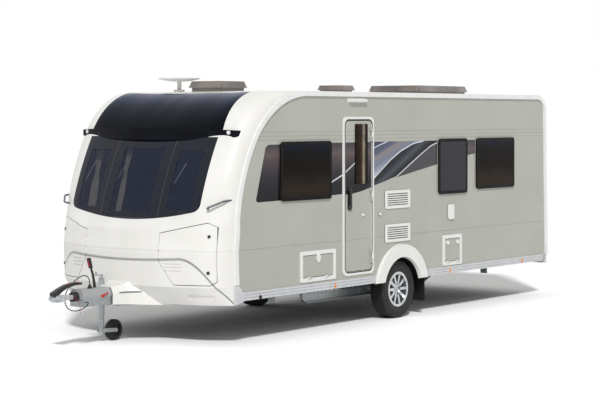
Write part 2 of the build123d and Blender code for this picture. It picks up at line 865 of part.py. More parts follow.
aerial_x = -500.0
aerial_y = -1900.0
with BuildPart() as roof_aerial:
    barrel(aerial_x, aerial_y, 60, roof_z, roof_z + 24)
    barrel(aerial_x, aerial_y, 24, roof_z, roof_z + 118)
    with BuildSketch(Plane.XZ.offset(-axle_y - aerial_y)):
        with BuildLine():
            Polyline(
                (aerial_x, roof_z + 110), (aerial_x + 120, roof_z + 118), (aerial_x + 225, roof_z + 140),
                (aerial_x + 225, roof_z + 150), (aerial_x + 100, roof_z + 156), (aerial_x, roof_z + 160), close=True,
            )
        make_face()
    revolve(axis=Axis((aerial_x, axle_y + aerial_y, 0), (0, 0, 1)))
save(roof_aerial, "roof_aerial")

# ---------------------------------------------------------------- wheels
bead_r = 178.0
flange_r = 194.0
bead_half = 72.0
barrel_r = 166.0
spoke_count = 10
stub_r = 28.0
hub_face = wheel_x + 10          # where the wheel sits against the hub
wheel_axis = Axis((0, axle_y, wheel_r), (1, 0, 0))


def tyre():
    with BuildPart() as ring:
        with BuildSketch(ahead(0)):
            with BuildLine(Plane(origin=(wheel_x, wheel_r, 0))):
                Line((-bead_half, bead_r), (bead_half, bead_r))
                Line((bead_half, bead_r), (bead_half, flange_r + 2))
                ThreePointArc((bead_half, flange_r + 2), (93, 244), (85, 292))
                ThreePointArc((85, 292), (81, 310), (66, 316.5))
                ThreePointArc((66, 316.5), (0, wheel_r), (-66, 316.5))
                ThreePointArc((-66, 316.5), (-81, 310), (-85, 292))
                ThreePointArc((-85, 292), (-93, 244), (-bead_half, flange_r + 2))
                Line((-bead_half, flange_r + 2), (-bead_half, bead_r))
            make_face()
        revolve(axis=wheel_axis)
    return ring.part


def rim():
    with BuildPart() as wheel:
        with BuildSketch(ahead(0)):
            with BuildLine(Plane(origin=(wheel_x, wheel_r, 0))):
                Polyline(
                    (-80, barrel_r), (-80, flange_r), (-bead_half, flange_r), (-bead_half, bead_r),
                    (bead_half, bead_r), (bead_half, flange_r), (80, flange_r), (80, barrel_r), close=True,
                )
            make_face()
        revolve(axis=wheel_axis)
        with BuildSketch(side(hub_face)):
            with Locations((0, wheel_r)):
                Circle(72)
        extrude(amount=44)
        with BuildSketch(side(wheel_x + 40)):
            with Locations((0, wheel_r)):
                with PolarLocations((60 + barrel_r + 2) / 2, spoke_count):
                    Rectangle(barrel_r + 2 - 60, 30)
        extrude(amount=24)
        with BuildSketch(side(hub_face)):
            with Locations((0, wheel_r)):
                Circle(stub_r + seat_gap)
        extrude(amount=34, mode=Mode.SUBTRACT)
        with BuildSketch(side(hub_face + 44)):
            with Locations((0, wheel_r)):
                with PolarLocations(56, 5):
                    Circle(9)
        extrude(amount=-26, mode=Mode.SUBTRACT)
    return wheel.part


with BuildPart() as tyre_near:
    add(tyre())
save(tyre_near, "tyre_near")
with BuildPart() as tyre_off:
    add(tyre_near.part.mirror(Plane.YZ))
save(tyre_off, "tyre_off")
with BuildPart() as rim_near:
    add(rim())
save(rim_near, "rim_near")
with BuildPart() as rim_off:
    add(rim_near.part.mirror(Plane.YZ))
save(rim_off, "rim_off")

# ---------------------------------------------------------------- axle and chassis
axle_tube_y = -170.0       # rubber-sprung tube ahead of the wheels, which trail on arms
axle_tube_z = 335.0
axle_tube_r = 48.0
arm_x = 800.0
drum_r = 118.0
with BuildPart() as axle:
    with BuildSketch(side(-arm_x)):
        with Locations((axle_tube_y, axle_tube_z)):
            RegularPolygon(axle_tube_r, 6)
    extrude(amount=2 * arm_x)
    with BuildSketch(side(arm_x)):
        with Locations((axle_tube_y / 2, (axle_tube_z + wheel_r) / 2)):
            SlotCenterToCenter(
                hypot(axle_tube_y, axle_tube_z - wheel_r), 96,
                rotation=degrees(atan2(wheel_r - axle_tube_z, -axle_tube_y)),
            )
    extrude(amount=46)
    for start, end, radius in (
        (arm_x + 46, wheel_x - 25, drum_r), (wheel_x - 25, hub_face - seat_gap, 60),
        (hub_face - seat_gap, hub_face + 30, stub_r),
    ):
        with BuildSketch(side(start)):
            with Locations((0, wheel_r)):
                Circle(radius)
        extrude(amount=end - start)
    mirror(about=Plane.YZ)
save(axle, "axle")

member_x = 700.0
member_web = 5.0
member_width = 46.0
member_holes = 14
chassis_top = floor_z - floor_thick
outrigger_x = 905.0
steady_x = 850.0
steady_pivot_z = 405.0
steady_pin_r = 9.0
Steady = namedtuple("Steady", "name side pivot_y reach")
steadies = [
    #       name         side  pivot from the axle, and which way the folded leg lies
    Steady("front_near", 1, -2380, 1),
    Steady("front_off", -1, -2380, 1),
    Steady("rear_near", 1, 2560, -1),
    Steady("rear_off", -1, 2560, -1),
]
steady_half = 26.0         # half the width of a leg
ear_thick = 6.0


def member_face():
    with BuildLine() as outline:
        Polyline(
            (-2840, chassis_top), (2960, chassis_top), (2960, 372), (1180, 372), (900, 252), (-1250, 252),
            (-1330, 292), (-1330, 362), (-2840, 362), close=True,
        )
    make_face(outline.edges())


with BuildPart() as chassis:
    with BuildSketch(side(member_x)):
        member_face()
    extrude(amount=member_width)
    with BuildSketch(side(member_x + member_web)):
        member_face()
        offset(amount=-member_web, kind=Kind.INTERSECTION)
    extrude(amount=member_width, mode=Mode.SUBTRACT)
    with BuildSketch(side(member_x)):
        with Locations((-780, 352)):
            with GridLocations(70, 0, member_holes, 1):
                Circle(17)
    extrude(amount=member_web, mode=Mode.SUBTRACT)
    with BuildSketch(side(member_x - 5)):
        with Locations((axle_tube_y, axle_tube_z)):
            Circle(axle_tube_r + seat_gap)
    extrude(amount=member_width + 10, mode=Mode.SUBTRACT)
    mirror(about=Plane.YZ)
    for y in (-1480, 1640, 2900):
        with BuildSketch(side(-member_x)):
            with Locations((y, 412)):
                Rectangle(50, 50)
        extrude(amount=2 * member_x)
    for steady in steadies:
        inner = steady.side * member_x + (member_width if steady.side > 0 else -member_width) - 2 * steady.side
        outer = steady.side * outrigger_x
        with BuildSketch(level(chassis_top)):
            with Locations(((inner + outer) / 2, steady.pivot_y)):
                Rectangle(abs(outer - inner), 70)
        extrude(amount=-14)
        for flank in (-1, 1):
            start = steady.side * steady_x + flank * (steady_half + 1.5 + ear_thick / 2) - ear_thick / 2
            with BuildSketch(side(start)):
                with Locations((steady.pivot_y, steady_pivot_z)):
                    Circle(20)
                    Rectangle(40, chassis_top - steady_pivot_z - 8, align=(Align.CENTER, Align.MIN))
            extrude(amount=ear_thick)
        with BuildSketch(side(steady.side * steady_x - steady_half - 4)):
            with Locations((steady.pivot_y, steady_pivot_z)):
                Circle(steady_pin_r)
        extrude(amount=2 * steady_half + 8)
save(chassis, "chassis")

steady_leg = 400.0
for steady in steadies:
    with BuildPart() as leg:
        with BuildSketch(side(steady.side * steady_x - steady_half)):
            with BuildLine():
                Polyline(
                    (steady.pivot_y - 16 * steady.reach, steady_pivot_z + 14),
                    (steady.pivot_y + steady_leg * steady.reach, steady_pivot_z + 14),
                    (steady.pivot_y + steady_leg * steady.reach, steady_pivot_z - 10),
                    (steady.pivot_y + 60 * steady.reach, steady_pivot_z - 18),
                    (steady.pivot_y - 16 * steady.reach, steady_pivot_z - 18), close=True,
                )
            make_face()
            with Locations((steady.pivot_y, steady_pivot_z)):
                Circle(steady_pin_r + seat_gap, mode=Mode.SUBTRACT)
        extrude(amount=2 * steady_half)
        with BuildSketch(side(steady.side * steady_x - steady_half + 4)):
            with BuildLine():
                Polyline(
                    (steady.pivot_y + 60 * steady.reach, steady_pivot_z + 10),
                    (steady.pivot_y + (steady_leg - 30) * steady.reach, steady_pivot_z + 10),
                    (steady.pivot_y + (steady_leg - 30) * steady.reach, steady_pivot_z - 20),
                    (steady.pivot_y + 60 * steady.reach, steady_pivot_z - 20), close=True,
                )
            make_face()
        extrude(amount=2 * steady_half - 8, mode=Mode.SUBTRACT)
        with BuildSketch(side(steady.side * steady_x - 45)):
            with Locations((steady.pivot_y + (steady_leg - 8) * steady.reach, steady_pivot_z - 22)):
                Rectangle(12, 110)
        extrude(amount=90)
    save(leg, f"steady_{steady.name}")

with BuildPart() as mudflaps:
    with BuildSketch(ahead(476)):
        with Locations((1004, 150)):
            Rectangle(196, chassis_top - 150, align=(Align.CENTER, Align.MIN))
        mirror(about=Plane.YZ)
    extrude(amount=6)
save(mudflaps, "mudflaps")

# ---------------------------------------------------------------- drawbar and hitch
nose_end = -3950.0
nose_half = 90.0
nose_foot = 400.0
nose_top = 475.0
spread_y = -3440.0         # where the two arms start to spread
arm_end_y = -1660.0
arm_foot = 372.0
arm_top = 447.0
draw_z = 500.0             # axis of the overrun tube
draw_r = 28.0
bellows_fore = -4026.0
bellows_pleats = 5
bellows_pitch = 14.5
bellows_aft = bellows_fore + bellows_pleats * bellows_pitch
with BuildPart() as drawbar:
    with BuildSketch(level(arm_foot)):
        with BuildLine():
            Polyline(
                (nose_half - 40, spread_y - 40), (nose_half, spread_y - 40), (nose_half, spread_y),
                (member_x - seat_gap, arm_end_y), (member_x - 50, arm_end_y), (nose_half - 40, spread_y + 20), close=True,
            )
        make_face()
        mirror(about=Plane.YZ)
    extrude(amount=arm_top - arm_foot)
    with BuildSketch(level(nose_foot)):
        with Locations((0, (nose_end + spread_y) / 2)):
            Rectangle(2 * nose_half, spread_y - nose_end)
            Rectangle(2 * nose_half - 12, spread_y - nose_end - 12, mode=Mode.SUBTRACT)
    extrude(amount=nose_top - nose_foot)
    for y in (nose_end + 20, -3620):
        with BuildSketch(ahead(y)):
            with Locations((0, nose_foot)):
                Rectangle(2 * nose_half - 10, draw_z + draw_r + 6 - nose_foot, align=(Align.CENTER, Align.MIN))
            chamfer(vertices().group_by(Axis.Y)[-1], 28)
        extrude(amount=14)
    with BuildSketch(ahead(-3620)):
        with Locations((0, draw_z)):
            Circle(draw_r)
    extrude(amount=-3620 - bellows_aft)
save(drawbar, "drawbar")

head_front = -4262.0
head_rear = -4030.0
head_half = 34.0
ball_y = -4192.0
ball_r = 25.0
socket_z = 468.0
knob_y = -4238.0
knob_z = 508.0
with BuildPart() as coupling_head:
    with BuildSketch(side(-head_half)):
        with BuildLine():
            Polyline(
                (head_rear, 482), (head_rear, 522), (-4150, 534), (-4215, 538), (-4250, 528), (head_front, 500),
                (head_front + 6, socket_z), (-4140, socket_z), (-4110, 482), close=True,
            )
        make_face()
    extrude(amount=2 * head_half)
    fillet(edges().filter_by(Axis.X).sort_by(Axis.Z)[-3:], 8)
    with BuildSketch(level(socket_z)):
        with Locations((0, ball_y)):
            Circle(ball_r)
    extrude(amount=24, mode=Mode.SUBTRACT)
    with Locations((0, axle_y + ball_y, socket_z + 24)):
        Sphere(ball_r, mode=Mode.SUBTRACT)
    with BuildSketch(ahead(head_rear)):
        with Locations((0, draw_z)):
            Circle(22)
    extrude(amount=head_rear - bellows_aft)
    for flank in (-1, 1):
        with BuildSketch(side(flank * head_half)):
            with Locations((knob_y, knob_z)):
                Circle(28)
        extrude(amount=flank * 26, taper=8)
        with BuildSketch(side(flank * (head_half + 26))):
            with Locations((knob_y, knob_z)):
                Circle(12)
        extrude(amount=flank * 10)
save(coupling_head, "coupling_head")

with BuildPart() as coupling_handle:
    with BuildSketch(side(-24)):
        with BuildLine():
            Polyline(
                (-4288, 536), (-4286, 560), (-4200, 596), (-4110, 626), (-4010, 640), (-3900, 634), (-3896, 614),
                (-4000, 612), (-4090, 596), (-4160, 566), (-4204, 538.6), (-4216, 538.6), (-4252, 530),
                (-4266, 522), close=True,
            )
        make_face()
    extrude(amount=48)
save(coupling_handle, "coupling_handle")

with BuildPart() as overrun_bellows:
    with BuildSketch(Plane(origin=(0, axle_y + bellows_fore, draw_z), x_dir=(0, 1, 0), z_dir=(1, 0, 0))):
        with BuildLine():
            rim_points = [(0, 22.5)]
            for pleat in range(bellows_pleats):
                rim_points.append((pleat * bellows_pitch, 36))
                rim_points.append(((pleat + 0.5) * bellows_pitch, 46))
            rim_points.append((bellows_pleats * bellows_pitch, 36))
            rim_points.append((bellows_pleats * bellows_pitch, 22.5))
            Polyline(*rim_points, close=True)
        make_face()
    revolve(axis=Axis((0, axle_y, draw_z), (0, 1, 0)))
save(overrun_bellows, "overrun_bellows")

# plastic cover over the overrun tube
cover_fore = nose_end - 2
cover_aft = -3566.0
cover_skin = 4.0
cover_top = 566.0


def cover_face(inset):
    with BuildLine() as outline:
        Polyline(
            (-nose_half - 4 + inset, nose_top), (-nose_half - 4 + inset, 505), (-78 + inset, 548 - inset / 2),
            (-56 + inset / 2, cover_top - inset), (56 - inset / 2, cover_top - inset), (78 - inset, 548 - inset / 2),
            (nose_half + 4 - inset, 505), (nose_half + 4 - inset, nose_top), close=True,
        )
    make_face(outline.edges())


lever_x = -24.0
with BuildPart() as drawbar_cover:
    with BuildSketch(ahead(cover_aft)):
        cover_face(0)
    extrude(amount=cover_aft - cover_fore)
    with BuildSketch(ahead(cover_aft + 1)):
        cover_face(cover_skin)
    extrude(amount=cover_aft - cover_fore - cover_skin + 1, mode=Mode.SUBTRACT)
    with BuildSketch(ahead(cover_fore + 60)):
        with Locations((0, draw_z)):
            Circle(draw_r + 12)
            Rectangle(2 * (draw_r + 12), 60, align=(Align.CENTER, Align.MAX))
    extrude(amount=80, mode=Mode.SUBTRACT)
    with BuildSketch(level(cover_top - 20)):
        with Locations((lever_x, -3690)):
            Rectangle(16, 110)
    extrude(amount=30, mode=Mode.SUBTRACT)
save(drawbar_cover, "drawbar_cover")

with BuildPart() as handbrake_lever:
    with BuildSketch(side(lever_x - 4)):
        with BuildLine():
            Polyline(
                (-3700, 529), (-3660, 529), (-3668, 600), (-3690, 690), (-3722, 766), (-3742, 762), (-3716, 684),
                (-3700, 600), close=True,
            )
        make_face()
    extrude(amount=8)
    with BuildSketch(side(lever_x - 4)):
        with Locations((-3680, 529)):
            Circle(24)
            Rectangle(60, 60, align=(Align.CENTER, Align.MAX), mode=Mode.SUBTRACT)
        with Locations((-3634 - seat_gap, 521)):
            Rectangle(70, 22, align=(Align.MAX, Align.MIN))
    extrude(amount=8)
    with BuildSketch(side(lever_x - 14)):
        with BuildLine():
            Polyline((-3718, 760), (-3748, 756), (-3778, 846), (-3764, 862), (-3746, 858), close=True)
        make_face()
    extrude(amount=28)
    fillet(edges().group_by(Axis.Z)[-1], 3)
save(handbrake_lever, "handbrake_lever")

# white fairing over the arms of the drawbar
FairingSection = namedtuple("FairingSection", "y half shoulder foot top")
fairing_sections = [
    FairingSection(-3562, 112, 84, 396, 566),
    FairingSection(-3400, 172, 120, 388, 590),
    FairingSection(-3260, 300, 210, 380, 650),
    FairingSection(-3120, 470, 330, 376, 760),
]
fairing_skin = 5.0
fairing_slots = [(205, 150), (-226, 76)]    # middle and length; the offside one clears the jockey wheel
jockey_x = -140.0
jockey_y = -3466.0


def fairing_solid(inset):
    with BuildPart() as body:
        for section in fairing_sections:
            with BuildSketch(ahead(section.y)):
                with BuildLine():
                    Polyline(
                        (-section.half + inset, section.foot), (-section.half + inset, section.foot + 110),
                        (-section.shoulder + inset, section.top - inset), (section.shoulder - inset, section.top - inset),
                        (section.half - inset, section.foot + 110), (section.half - inset, section.foot), close=True,
                    )
                make_face()
        loft(ruled=True)
    return body.part


with BuildPart() as drawbar_fairing:
    add(fairing_solid(0))
    add(fairing_solid(fairing_skin), mode=Mode.SUBTRACT)
    add(hull, mode=Mode.SUBTRACT)
    with BuildSketch(level(360)):
        with Locations((jockey_x - 40, jockey_y)):
            Rectangle(160, 110)
    extrude(amount=320, mode=Mode.SUBTRACT)
    with BuildSketch(ahead(-3600)):
        for middle, length in fairing_slots:
            with Locations((middle, 508)):
                SlotOverall(length, 16)
    extrude(amount=-300, mode=Mode.SUBTRACT)
save(drawbar_fairing, "drawbar_fairing")

# ---------------------------------------------------------------- jockey wheel
jockey_tube_r = 30.0
jockey_stem_r = 25.0
jockey_foot = 262.0        # lower end of the fixed tube
jockey_head = 640.0
jockey_trail = 172.0
jockey_wheel_r = 105.0
jockey_wheel_wide = 56.0
fork_half = 36.0
with BuildPart() as jockey_tube:
    barrel(jockey_x, jockey_y, jockey_tube_r, jockey_foot, jockey_head)
    with BuildSketch(level(jockey_foot)):
        with Locations((jockey_x, jockey_y)):
            Circle(jockey_stem_r + seat_gap)
    extrude(amount=jockey_head - jockey_foot - 12, mode=Mode.SUBTRACT)
    barrel(jockey_x, jockey_y, 12, jockey_head - 2, jockey_head + 22)
    with BuildSketch(level(jockey_head + 22)):
        with Locations((jockey_x, jockey_y - 35)):
            SlotOverall(110, 20, rotation=90)
    extrude(amount=9)
    barrel(jockey_x, jockey_y - 78, 10, jockey_head + 26, jockey_head + 62)
    for z in (nose_foot + 4, nose_top - 22):
        with BuildSketch(level(z)):
            with Locations((-nose_half, jockey_y)):
                Rectangle(-jockey_x - nose_half - jockey_tube_r + 2.5, 46, align=(Align.MAX, Align.CENTER))
        extrude(amount=14)
save(jockey_tube, "jockey_tube")

with BuildPart() as jockey_stem:
    barrel(jockey_x, jockey_y, jockey_stem_r, 142, 470)
save(jockey_stem, "jockey_stem")

with BuildPart() as jockey_fork:
    barrel(jockey_x, jockey_y, jockey_stem_r + 3, 84, 142 - seat_gap)
    for flank in (-1, 1):
        with BuildSketch(side(jockey_x + flank * fork_half - 3)):
            with Locations((jockey_y + jockey_trail / 2, jockey_wheel_r + 6)):
                SlotOverall(jockey_trail + 44, 40, rotation=-4)
        extrude(amount=6)
    with BuildSketch(level(92)):
        with Locations((jockey_x, jockey_y + 8)):
            Rectangle(2 * fork_half, 34)
    extrude(amount=40)
    with BuildSketch(side(jockey_x - fork_half)):
        with Locations((jockey_y + jockey_trail, jockey_wheel_r)):
            Circle(8)
    extrude(amount=2 * fork_half)
save(jockey_fork, "jockey_fork")

with BuildPart() as jockey_wheel:
    with BuildSketch(side(jockey_x - jockey_wheel_wide / 2)):
        with Locations((jockey_y + jockey_trail, jockey_wheel_r)):
            Circle(jockey_wheel_r)
    extrude(amount=jockey_wheel_wide)
    fillet(edges().filter_by(GeomType.CIRCLE), 12)
    for flank in (-1, 1):
        with BuildSketch(side(jockey_x + flank * jockey_wheel_wide / 2)):
            with Locations((jockey_y + jockey_trail, jockey_wheel_r)):
                Circle(68)
                Circle(26, mode=Mode.SUBTRACT)
        extrude(amount=-flank * 12, mode=Mode.SUBTRACT)
    with BuildSketch(side(jockey_x - jockey_wheel_wide / 2)):
        with Locations((jockey_y + jockey_trail, jockey_wheel_r)):
            Circle(8 + seat_gap)
    extrude(amount=jockey_wheel_wide, mode=Mode.SUBTRACT)
save(jockey_wheel, "jockey_wheel")

# ---------------------------------------------------------------- lead and breakaway cable
lead_r = 5.0
wire_r = 2.0
gland_z = cover_top + 34
gland_y = -3780.0
with BuildPart() as lead_gland:
    barrel(8, gland_y, 26, cover_top, cover_top + 10)
    barrel(8, gland_y, 17, cover_top + 10, gland_z)
save(lead_gland, "lead_gland")

lead_route = [
    # x, y from the axle, z: up out of the gland, over, down beside the coupling and back to the nose
    (8, gland_y, gland_z),
    (8, gland_y, gland_z + 50),
    (4, gland_y - 42, gland_z + 98),
    (-14, gland_y - 104, gland_z + 90),
    (-40, gland_y - 170, gland_z + 42),
    (-62, gland_y - 234, gland_z - 28),
    (-66, gland_y - 268, gland_z - 100),
    (-58, gland_y - 268, gland_z - 176),
    (-34, gland_y - 240, gland_z - 226),
    (14, gland_y - 210, gland_z - 238),
    (70, gland_y - 204, gland_z - 226),
    (112, gland_y - 186, gland_z - 206),
    (126, gland_y - 156, gland_z - 180),
    (nose_half + 32, gland_y - 125, gland_z - 154),
    (nose_half, gland_y - 125, gland_z - 154),
]
clip_top = 346.0
clip_long = 30.0
clip_at = (100, head_rear + 30)
wire_route = [
    (head_half, head_rear - 20, 505),
    (head_half + 28, head_rear - 20, 505),
    (head_half + 56, head_rear - 10, 488),
    (106, head_rear + 14, 446),
    (*clip_at, 398),
    (*clip_at, clip_top),
]


def cord(route, radius, ease):
    """A round cord along straight runs joined by arcs as large as the runs allow."""
    points = [Vector(x, axle_y + y, z) for x, y, z in route]
    radii = []
    for before, here, after in zip(points, points[1:], points[2:]):
        run = min((here - before).length, (after - here).length)
        turn = radians((here - before).get_angle(after - here))
        radii.append(ease * run / tan(turn / 2))
    with BuildPart() as tube:
        with BuildLine() as path:
            FilletPolyline(*points, radius=radii)
        with BuildSketch(Plane(origin=path.line @ 0, z_dir=path.line % 0)):
            Circle(radius)
        sweep()
    length = sum(edge.length for edge in path.edges())
    print("cord radii", [round(r) for r in radii], "length", round(length))
    print("cord volume over section times length", round(tube.part.volume / (length * pi * radius ** 2), 4))
    return tube.part


with BuildPart() as electric_lead:
    add(cord(lead_route, lead_r, 0.45))
save(electric_lead, "electric_lead")
with BuildPart() as breakaway_wire:
    add(cord(wire_route, wire_r, 0.45))
save(breakaway_wire, "breakaway_wire")
with BuildPart() as breakaway_clip:
    with BuildSketch(side(clip_at[0] - 3)):
        with Locations((clip_at[1], clip_top - clip_long / 2)):
            SlotOverall(clip_long, 16, rotation=90)
            SlotOverall(20, 7, rotation=90, mode=Mode.SUBTRACT)
    extrude(amount=6)
save(breakaway_clip, "breakaway_clip")

# ---------------------------------------------------------------- inside, as it shows through the windows
inner_x = wall_x - wall - panel_gap - 2
shelf_z = 1165.0
bulkhead_y = -2790.0
bunk_top = 840.0
bed_high = 330.0
board = 18.0
with BuildPart() as furniture:
    with BuildSketch(level(shelf_z)):
        with BuildLine():
            ThreePointArc((-1062, -2850), (0, -3215), (1062, -2850))
            Polyline((1062, -2850), (1062, bulkhead_y), (-1062, bulkhead_y), (-1062, -2850))
        make_face()
    extrude(amount=15)
    with BuildSketch(level(floor_z + 0.2)):
        with Locations((0, bulkhead_y)):
            Rectangle(2 * inner_x, 15, align=(Align.CENTER, Align.MAX))
    extrude(amount=shelf_z - floor_z)
    for flank in (-1, 1):
        with BuildSketch(level(floor_z + 0.2)):
            with Locations((flank * (inner_x + 480) / 2, (bulkhead_y - 1240) / 2)):
                Rectangle(inner_x - 480, -1240 - bulkhead_y - 2)
        extrude(amount=bunk_top - floor_z)
    # kitchen on the offside, kept above the wheel box
    with BuildSketch(side(-inner_x)):
        with BuildLine():
            Polyline(
                (-1120, floor_z + 0.2), (-440, floor_z + 0.2), (-440, 750), (395, 750), (395, floor_z + 0.2),
                (560, floor_z + 0.2), (560, 1330), (-1120, 1330), close=True,
            )
        make_face()
    extrude(amount=560)
    # tall fridge unit on the nearside
    with BuildSketch(side(inner_x - 560)):
        with BuildLine():
            Polyline(
                (-490, floor_z + 0.2), (-440, floor_z + 0.2), (-440, 750), (395, 750), (395, floor_z + 0.2),
                (640, floor_z + 0.2), (640, 2340), (-490, 2340), close=True,
            )
        make_face()
    extrude(amount=560)
    # bed box, open below, with its board on top
    with BuildSketch(level(floor_z + 0.2)):
        with Locations((-390, 1500)):
            Rectangle(1380, 1700)
            Rectangle(1380 - 2 * board, 1700 - 2 * board, mode=Mode.SUBTRACT)
    extrude(amount=bed_high)
    with BuildSketch(level(floor_z + 0.2 + bed_high - board)):
        with Locations((-390, 1500)):
            Rectangle(1380, 1700)
    extrude(amount=board)
    # chest of drawers between the front seats
    with BuildSketch(level(floor_z + 0.2)):
        with Locations((0, bulkhead_y)):
            Rectangle(880, 420, align=(Align.CENTER, Align.MIN))
    extrude(amount=560)
    with BuildSketch(ahead(2560)):
        with Locations((0, floor_z + 0.2)):
            Rectangle(2 * inner_x, 2440 - floor_z, align=(Align.CENTER, Align.MIN))
            with Locations((500, 0)):
                Rectangle(560, 1900, align=(Align.CENTER, Align.MIN), mode=Mode.SUBTRACT)
    extrude(amount=-25)
save(furniture, "furniture")

with BuildPart() as cushions:
    for flank in (-1, 1):
        with BuildSketch(level(bunk_top + 0.5)):
            with Locations((flank * (inner_x - 4 + 490) / 2, (bulkhead_y - 1250) / 2)):
                RectangleRounded(inner_x - 4 - 490, -1250 - bulkhead_y - 12, 30)
        extrude(amount=140)
        with BuildSketch(level(bunk_top + 141)):
            with Locations((flank * (inner_x - 4 - 65), (bulkhead_y - 1250) / 2)):
                RectangleRounded(130, -1250 - bulkhead_y - 60, 40)
        extrude(amount=330)
    with BuildSketch(level(floor_z + bed_high + 1)):
        with Locations((-390, 1500)):
            RectangleRounded(1340, 1660, 60)
    extrude(amount=160)
save(cushions, "cushions")

CurtainDrop = namedtuple("CurtainDrop", "x width foot_y head_y")
curtain_drops = [
    CurtainDrop(770, 110, -3005, -2822),
    CurtainDrop(300, 80, -3100, -2870),
]
curtain_foot = shelf_z + 15 + seat_gap
curtain_head = 1985.0
with BuildPart() as curtains:
    for flank in (-1, 1):
        for drop in curtain_drops:
            with BuildSketch(side(flank * drop.x - drop.width / 2)):
                with BuildLine():
                    Polyline(
                        (drop.foot_y, curtain_foot), (drop.head_y, curtain_head), (drop.head_y + 24, curtain_head),
                        (drop.foot_y + 24, curtain_foot), close=True,
                    )
                make_face()
            extrude(amount=drop.width)
save(curtains, "curtains")
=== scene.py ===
# %% [markdown]
# # A touring caravan
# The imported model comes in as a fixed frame: every plate, pane and wheel is
# already in place. This notebook gives each piece its finish and adds the
# small things a maker fits last, such as films, locks, bolts and curtains.
#
# Loading gives a table of the model's nodes by name. Three measures that many
# pieces share are written down once, in metres, so that a change needs one
# line.

# %% Load the frame
import bpy
import math
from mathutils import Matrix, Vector
from mathutils.bvhtree import BVHTree


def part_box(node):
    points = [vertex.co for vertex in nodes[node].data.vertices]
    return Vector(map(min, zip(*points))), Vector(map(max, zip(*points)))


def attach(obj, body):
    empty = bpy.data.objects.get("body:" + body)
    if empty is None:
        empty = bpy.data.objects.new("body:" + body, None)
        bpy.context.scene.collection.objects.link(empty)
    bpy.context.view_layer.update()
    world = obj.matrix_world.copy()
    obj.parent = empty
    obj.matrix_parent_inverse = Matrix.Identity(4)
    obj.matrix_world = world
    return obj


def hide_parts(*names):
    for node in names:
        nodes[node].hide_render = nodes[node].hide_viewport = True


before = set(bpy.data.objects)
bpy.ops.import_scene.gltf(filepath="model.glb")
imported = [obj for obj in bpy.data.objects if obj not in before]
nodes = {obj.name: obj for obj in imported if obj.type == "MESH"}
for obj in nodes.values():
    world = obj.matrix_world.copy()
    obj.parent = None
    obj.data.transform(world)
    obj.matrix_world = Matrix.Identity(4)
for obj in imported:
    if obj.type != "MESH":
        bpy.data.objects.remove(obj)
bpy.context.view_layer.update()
bpy.ops.object.select_all(action="DESELECT")
AXLE = 0.502          # the wheel centres lie this far behind the origin
WALL = 1.120          # outer face of the side walls
WHEEL_Z = 0.319       # height of the wheel centres
TRACK_HALF = 0.985    # each tyre stands this far from the middle
LABEL = {1: "near", -1: "off"}    # x is positive on the near side

# %% [markdown]
# Paint makers give colours as hex values on the screen's own scale. The
# renderer adds light on a linear scale, so one function turns the first
# into the second. A second function adds one shader node with its settings,
# and a third starts a material with the finish that touches the light first.

# %% Helpers for finishes
def linear(code):
    """A hex colour as linear red, green, blue and alpha."""
    channels = [int(code[i:i + 2], 16) / 255 for i in (0, 2, 4)]
    return tuple(c / 12.92 if c <= 0.04045 else ((c + 0.055) / 1.055) ** 2.4 for c in channels) + (1.0,)


def add_node(tree, kind, inputs=None, **settings):
    """Adds one shader node.

    An input is a number, a colour, another node's socket, or a node whose
    first output is used.
    """
    made = tree.nodes.new("ShaderNode" + kind)
    for key, value in settings.items():
        setattr(made, key, value)
    for socket, value in (inputs or {}).items():
        if isinstance(value, bpy.types.Node):
            value = value.outputs[0]
        if isinstance(value, bpy.types.NodeSocket):
            tree.links.new(value, made.inputs[socket])
        else:
            made.inputs[socket].default_value = value
    return made


def start(name, colour, roughness, metallic=0.0, coat=0.0, gloss=0.5):
    """A new material with its plain finish, its tree, its shader and the object's coordinates."""
    material = bpy.data.materials.new(name)
    material.use_nodes = True
    tree = material.node_tree
    shader = tree.nodes["Principled BSDF"]
    shader.inputs["Base Color"].default_value = linear(colour)
    shader.inputs["Roughness"].default_value = roughness
    shader.inputs["Metallic"].default_value = metallic
    shader.inputs["IOR"].default_value = 1.5
    shader.inputs["Coat Weight"].default_value = coat
    shader.inputs["Specular IOR Level"].default_value = gloss
    place = tree.nodes.new("ShaderNodeTexCoord").outputs["Object"]
    return material, tree, shader, place


def set_stops(ramp, stops):
    """Fills a colour ramp from its positions and hex colours."""
    marks = ramp.color_ramp.elements
    marks[0].position, marks[0].color = stops[0][0], linear(stops[0][1])
    marks[1].position, marks[1].color = stops[-1][0], linear(stops[-1][1])
    for at, colour in stops[1:-1]:
        marks.new(at).color = linear(colour)


def mottle(tree, shader, place, light, dark, size,
           roughness=None, strength=0.0, depth=0.001, stretch=(1, 1, 1)):
    """Drifts a colour between two shades over patches of one size, with a matching bump."""
    spread = add_node(tree, "Mapping", {"Vector": place, "Scale": stretch})
    noise = add_node(tree, "TexNoise", {"Vector": spread.outputs[0], "Scale": 1 / size, "Detail": 4.0})
    ramp = add_node(tree, "ValToRGB", {"Fac": noise.outputs["Fac"]})
    set_stops(ramp, [(0.35, dark), (0.65, light)])
    tree.links.new(ramp.outputs["Color"], shader.inputs["Base Color"])
    if roughness:
        span = add_node(tree, "MapRange", {
            "Value": noise.outputs["Fac"], "To Min": roughness[0], "To Max": roughness[1]})
        tree.links.new(span.outputs[0], shader.inputs["Roughness"])
    if strength:
        bump = add_node(tree, "Bump", {
            "Height": noise.outputs["Fac"], "Strength": strength, "Distance": depth})
        tree.links.new(bump.outputs[0], shader.inputs["Normal"])
    return ramp.outputs["Color"]


def mottled(name, colour, roughness, *pattern, **finish):
    """A new material whose colour drifts. The pattern is what mottle takes, from its light shade on."""
    material, tree, shader, place = start(name, colour, roughness, **finish)
    mottle(tree, shader, place, *pattern)
    return material


